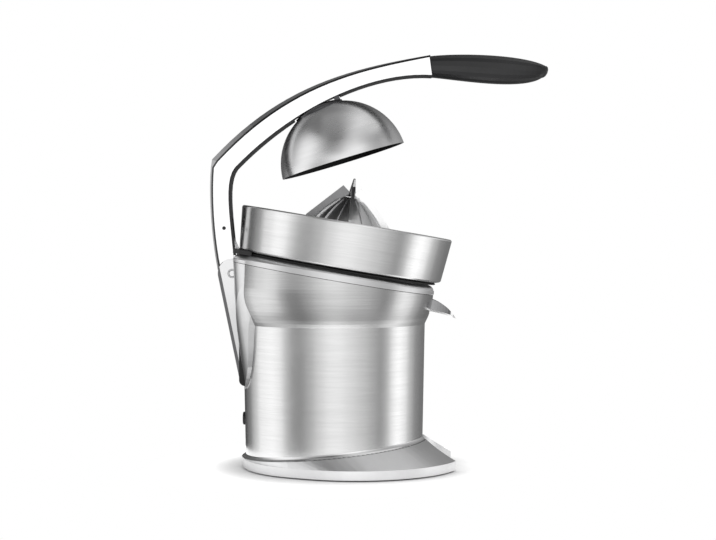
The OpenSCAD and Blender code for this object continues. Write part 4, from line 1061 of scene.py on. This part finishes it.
@dataclass
class KnuckleRings(Piece):
    """Retaining ring and outer washer on both ends of the knuckle pin, with outlines in millimetres."""

    ring: Outline = ((3.03, 0.0), (3.75, 0.0), (3.75, 0.22), (3.6, 0.32), (3.03, 0.32))
    washer: Outline = ((4.35, 0.0), (4.88, 0.0), (4.88, 0.12), (4.80, 0.20), (4.35, 0.20))
    steps: int = 48
    x: float = -109.1 * MM
    side: float = 13.61 * MM
    z: float = 209.0 * MM

    def build(self) -> None:
        """Turn the two rings once for each side."""
        for side, sign in (("near", -1.0), ("far", 1.0)):
            for name, outline in (("knuckle_ring", self.ring), ("knuckle_washer", self.washer)):
                ring = Bench.turn_ring(f"{name}_{side}", outline, self.steps)
                Bench.settle(ring, (self.x, sign * self.side, self.z), (-90.0 * sign, 0.0, 0.0))
                Bench.smooth(ring)
                self.fit(ring, "rocker", "dark_metal")


@dataclass(frozen=True)
class PanelRing:
    """A ring of panels in the tent.

    Attributes:
        start: Height where it begins to take over from the ring below, in metres.
        end: Height from which it shows alone, in metres.
        levels: Direction in degrees and level of each panel.
    """

    start: float
    end: float
    levels: Levels


@dataclass(frozen=True)
class StudioSpec:
    """Sizes in metres and levels of the studio.

    Attributes:
        floor_r: Radius of the floor.
        floor_steps: Corners of its rim.
        floor_drop: How far it lies under the press's feet.
        floor_tone: Its colour.
        floor_near: Its glow close to the press, dimmed there as a painted shadow.
        floor_far: Its glow at its rim.
        floor_middle: Middle of the glow's rings along X, round which the painted shadow lies.
        glow_start: Distance from that middle where the glow starts to rise out of the painted shadow.
        glow_end: Distance where it has risen.
        shade_reach: How far the press's closeness darkens the floor's glow, a painted contact shadow.
        shade_samples: Rays that look for it.
        tent_r: Radius of the tent.
        tent_low: Height of its foot.
        tent_top: Height of its roof.
        tent_steps: Corners of its rim.
        roof_dark: Level of the roof behind the press.
        roof_bright: Level of the roof in front of it.
        roof_start: Place along X where the roof starts to brighten.
        roof_end: Place along X where it is bright.
        roof_rise: Rise of the roof's level a metre along Y.
        roof_from: Depth under the roof where its own level starts to show.
        roof_alone: Depth under the roof from which only its level shows.
        fall_from: Height where the panels start to dim.
        fall_to: Height where they are dimmest.
        fall: Share of their level that they lose.
        lamp_size: Side of the lamp.
        lamp_power: Its power in watts.
        lamp_place: Its place.
        lamp_target: The point that it faces.
        film: Width of the camera's film in millimetres.
        lens: Its focal length in millimetres.
        camera_place: Place of the camera.
        camera_down: Its tilt below level in degrees.
        camera_turn: Its turn about the upright in degrees.
        foot_levels: Direction in degrees and level of each panel at the tent's foot.
        rings: The rings of panels above them, from below.
    """

    floor_r: float = 0.20
    floor_steps: int = 96
    floor_drop: float = 0.0003
    floor_tone: Rgb = (0.86, 0.86, 0.86)
    floor_near: float = 0.64
    floor_far: float = 0.95
    floor_middle: float = 0.025
    glow_start: float = 0.11
    glow_end: float = 0.18
    shade_reach: float = 0.05
    shade_samples: int = 8
    tent_r: float = 3.4
    tent_low: float = -4.6
    tent_top: float = 3.6
    tent_steps: int = 96
    roof_dark: float = 0.12
    roof_bright: float = 0.66
    roof_start: float = -0.5
    roof_end: float = 1.4
    roof_rise: float = 0.03
    roof_from: float = 0.02
    roof_alone: float = 0.01
    fall_from: float = 2.0
    fall_to: float = 3.4
    fall: float = 0.45
    lamp_size: float = 2.2
    lamp_power: float = 2.5
    lamp_place: Point = (-0.1, -0.5, 2.3)
    lamp_target: Point = (0.0, 0.0, 0.2)
    film: float = 36.0
    lens: float = 80.4
    camera_place: Point = (0.0, -1.728, 0.2555)
    camera_down: float = 1.43
    camera_turn: float = -0.86
    foot_levels: Levels = (
        (-180.0, 0.04),
        (-134.0, 0.05),
        (-120.0, 0.10),
        (-106.0, 0.50),
        (-90.0, 0.60),
        (-77.0, 0.50),
        (-65.0, 0.35),
        (-53.0, 0.24),
        (-42.0, 0.24),
        (-32.0, 0.34),
        (-22.0, 0.50),
        (-12.0, 0.68),
        (-2.0, 0.76),
        (8.0, 0.74),
        (18.0, 0.62),
        (28.0, 0.53),
        (40.0, 0.50),
        (50.0, 0.44),
        (60.0, 0.36),
        (71.0, 0.42),
        (83.0, 0.70),
        (97.0, 0.92),
        (113.0, 0.66),
        (134.0, 0.34),
        (152.0, 0.20),
        (180.0, 0.15),
    )
    rings: Tuple[PanelRing, ...] = (
        PanelRing(start=-2.4, end=-1.0, levels=(
            (-180.0, 0.05),
            (-157.0, 0.07),
            (-137.0, 0.20),
            (-119.0, 0.60),
            (-106.0, 1.02),
            (-84.0, 1.12),
            (-72.0, 0.98),
            (-61.0, 0.50),
            (-52.0, 0.29),
            (-42.0, 0.27),
            (-30.0, 0.45),
            (-18.0, 0.72),
            (-5.0, 0.93),
            (6.0, 0.94),
            (20.0, 0.80),
            (36.0, 0.63),
            (50.0, 0.44),
            (60.0, 0.29),
            (69.0, 0.46),
            (79.0, 1.02),
            (88.0, 1.25),
            (99.0, 1.02),
            (112.0, 0.50),
            (127.0, 0.25),
            (148.0, 0.18),
            (180.0, 0.16),
        )),
        PanelRing(start=-0.05, end=0.25, levels=(
            (-180.0, 0.10),
            (-125.0, 0.10),
            (-106.0, 0.30),
            (-97.0, 0.78),
            (-88.0, 0.85),
            (-80.0, 1.06),
            (-68.0, 1.06),
            (-58.0, 0.82),
            (-48.0, 0.66),
            (-38.0, 0.66),
            (-28.0, 0.80),
            (-18.0, 1.00),
            (-6.0, 1.20),
            (6.0, 1.18),
            (16.0, 0.90),
            (30.0, 0.70),
            (44.0, 0.60),
            (58.0, 0.38),
            (68.0, 0.34),
            (80.0, 0.70),
            (92.0, 1.05),
            (106.0, 0.92),
            (120.0, 0.60),
            (142.0, 0.34),
            (180.0, 0.12),
        )),
        PanelRing(start=0.9, end=1.5, levels=(
            (-180.0, 0.10),
            (-120.0, 0.18),
            (-102.0, 0.50),
            (-86.0, 0.95),
            (-68.0, 1.05),
            (-55.0, 0.80),
            (-44.0, 0.50),
            (-30.0, 0.26),
            (-16.0, 0.26),
            (-6.0, 0.44),
            (4.0, 0.86),
            (26.0, 1.10),
            (40.0, 0.82),
            (54.0, 0.52),
            (70.0, 0.40),
            (90.0, 0.50),
            (120.0, 0.38),
            (180.0, 0.10),
        )),
    )


class Studio:
    """Pale floor, a soft tent with brighter and darker panels, one lamp and the camera."""

    def __init__(self, spec: StudioSpec) -> None:
        """Keep the studio's sizes and levels."""
        self.spec = spec

    def build(self) -> None:
        """Make the whole studio."""
        self.world()
        self.floor()
        self.tent()
        self.lamps()
        self.camera()

    def world(self) -> None:
        """Set the plain white world."""
        world = bpy.data.worlds.new("studio")
        bpy.context.scene.world = world
        world.use_nodes = True
        background = world.node_tree.nodes["Background"]
        background.inputs["Color"].default_value = (1.0, 1.0, 1.0, 1.0)
        background.inputs["Strength"].default_value = 1.0

    @staticmethod
    def glowing(name: str) -> Tuple[bpy.types.Material, Graph]:
        """Make an empty material for the floor or the tent.

        Args:
            name: Its name.

        Returns:
            The material and the builder of its cleared node tree.
        """
        material = bpy.data.materials.new(name)
        material.use_nodes = True
        graph = Graph(material.node_tree)
        graph.tree.nodes.clear()
        return material, graph

    @staticmethod
    def seen_white(graph: Graph) -> Sock:
        """Tell the rays that show the background: camera, glossy and transmission.

        Args:
            graph: The floor's node tree.

        Returns:
            One for those rays, otherwise zero.
        """
        path = graph.node("ShaderNodeLightPath")
        camera, glossy = graph.out(path, "Is Camera Ray"), graph.out(path, "Is Glossy Ray")
        return (camera + glossy + graph.out(path, "Is Transmission Ray")).clamped()

    def floor(self) -> None:
        """Lay the pale floor, which shows white and keeps the press's shadow, with its glow dimmed near the
        press as a painted shadow.
        """
        spec = self.spec
        Bench.clear()
        bpy.ops.mesh.primitive_circle_add(
            vertices=spec.floor_steps,
            radius=spec.floor_r,
            fill_type="NGON",
            location=(0.0, 0.0, -spec.floor_drop),
        )
        floor = Bench.hold("floor")
        material, graph = self.glowing("floor_pale")
        paint = graph.node("ShaderNodeBsdfDiffuse", Color=(*spec.floor_tone, 1.0))
        # Painted shadow: the floor's glow is dimmed near the press by distance, and at its foot by ambient
        # occlusion.
        x, y, _ = graph.place()
        along = x - spec.floor_middle
        painted_shadow_fade = (along * along + y * y).root().step(spec.glow_start, spec.glow_end)
        lift = spec.floor_near + painted_shadow_fade * (spec.floor_far - spec.floor_near)
        shade = graph.node(
            "ShaderNodeAmbientOcclusion", {"samples": spec.shade_samples}, Distance=spec.shade_reach
        )
        contact_ao_painted_shadow = graph.out(shade, "AO")
        glow = graph.node("ShaderNodeEmission", Color=self.seen_white(graph) * lift * contact_ao_painted_shadow * contact_ao_painted_shadow)
        both = graph.node("ShaderNodeAddShader", i0=paint.outputs[0], i1=glow.outputs[0])
        graph.node("ShaderNodeOutputMaterial", Surface=both.outputs[0])
        floor.data.materials.append(material)

    def tent(self) -> None:
        """Stand the tent round the press, with panels by direction and unseen by the camera itself."""
        spec = self.spec
        Bench.clear()
        bpy.ops.mesh.primitive_cylinder_add(
            vertices=spec.tent_steps,
            radius=spec.tent_r,
            depth=spec.tent_top - spec.tent_low,
            location=(0.0, 0.0, (spec.tent_top + spec.tent_low) / 2.0),
        )
        tent = Bench.hold("tent")
        bpy.ops.object.mode_set(mode="EDIT")
        bpy.ops.mesh.select_all(action="SELECT")
        bpy.ops.mesh.flip_normals()
        bpy.ops.object.mode_set(mode="OBJECT")
        Bench.settle(tent, tuple(tent.location), (0.0, 0.0, 0.0))
        tent.visible_camera = False
        material, graph = self.glowing("tent_panels")
        x, y, z = graph.place()
        turn = x.atan2(y * -1.0) / (2.0 * math.pi) + 0.5
        panels = self.panels(graph, turn, spec.foot_levels)
        for ring in spec.rings:
            share = z.step(ring.start, ring.end)
            panels = panels * (1.0 - share) + self.panels(graph, turn, ring.levels) * share
        dim = z.step(spec.fall_from, spec.fall_to)
        roof = z.step(spec.tent_top - spec.roof_from, spec.tent_top - spec.roof_alone)
        front = x.step(spec.roof_start, spec.roof_end)
        overhead = y * spec.roof_rise + front * (spec.roof_bright - spec.roof_dark) + spec.roof_dark
        level = panels * (1.0 - dim * spec.fall) * (1.0 - roof) + overhead * roof
        glow = graph.node("ShaderNodeEmission", Color=level)
        graph.node("ShaderNodeOutputMaterial", Surface=glow.outputs[0])
        tent.data.materials.append(material)

    @staticmethod
    def panels(graph: Graph, turn: Sock, levels: Levels) -> Sock:
        """Give the level of a ring of panels.

        Args:
            graph: The tent's node tree.
            turn: Direction, from 0 to 1 round the tent.
            levels: Direction in degrees and level of each panel.

        Returns:
            The level at that direction.
        """
        stops = [(degrees / 360.0 + 0.5, level) for degrees, level in levels]
        ramp = graph.node("ShaderNodeValToRGB", {"stops": stops}, Fac=turn)
        return graph.out(graph.node("ShaderNodeSeparateColor", i0=ramp.outputs["Color"]), 0)

    def lamps(self) -> None:
        """Hang one large soft lamp over the press."""
        spec = self.spec
        data = bpy.data.lights.new("lamp_top", "AREA")
        data.shape = "SQUARE"
        data.size = spec.lamp_size
        data.energy = spec.lamp_power
        lamp = bpy.data.objects.new("lamp_top", data)
        bpy.context.scene.collection.objects.link(lamp)
        lamp.location = spec.lamp_place
        way = Vector(spec.lamp_target) - lamp.location
        lamp.rotation_euler = way.to_track_quat("-Z", "Y").to_euler()

    def camera(self) -> None:
        """Set the camera where the photograph was taken from."""
        spec = self.spec
        data = bpy.data.cameras.new("camera")
        data.sensor_width = spec.film
        data.sensor_fit = "HORIZONTAL"
        data.lens = spec.lens
        camera = bpy.data.objects.new("camera", data)
        bpy.context.scene.collection.objects.link(camera)
        camera.location = spec.camera_place
        turn = (math.radians(90.0 - spec.camera_down), 0.0, math.radians(spec.camera_turn))
        camera.rotation_euler = Euler(turn, "XYZ")
        bpy.context.scene.camera = camera


def main() -> None:
    """Build the scene."""
    logging.basicConfig(level=logging.INFO, format="%(name)s: %(message)s")
    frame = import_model()
    bpy.context.scene.view_settings.view_transform = "Standard"
    dresser = Dresser(Palette())
    dresser.dress_frame(frame)
    for kind in (GripCollar, BowlGasket, FootRing, GlandNut, KnuckleRings):
        kind(dresser).build()
    Studio(StudioSpec()).build()


if __name__ == "__main__":
    main()
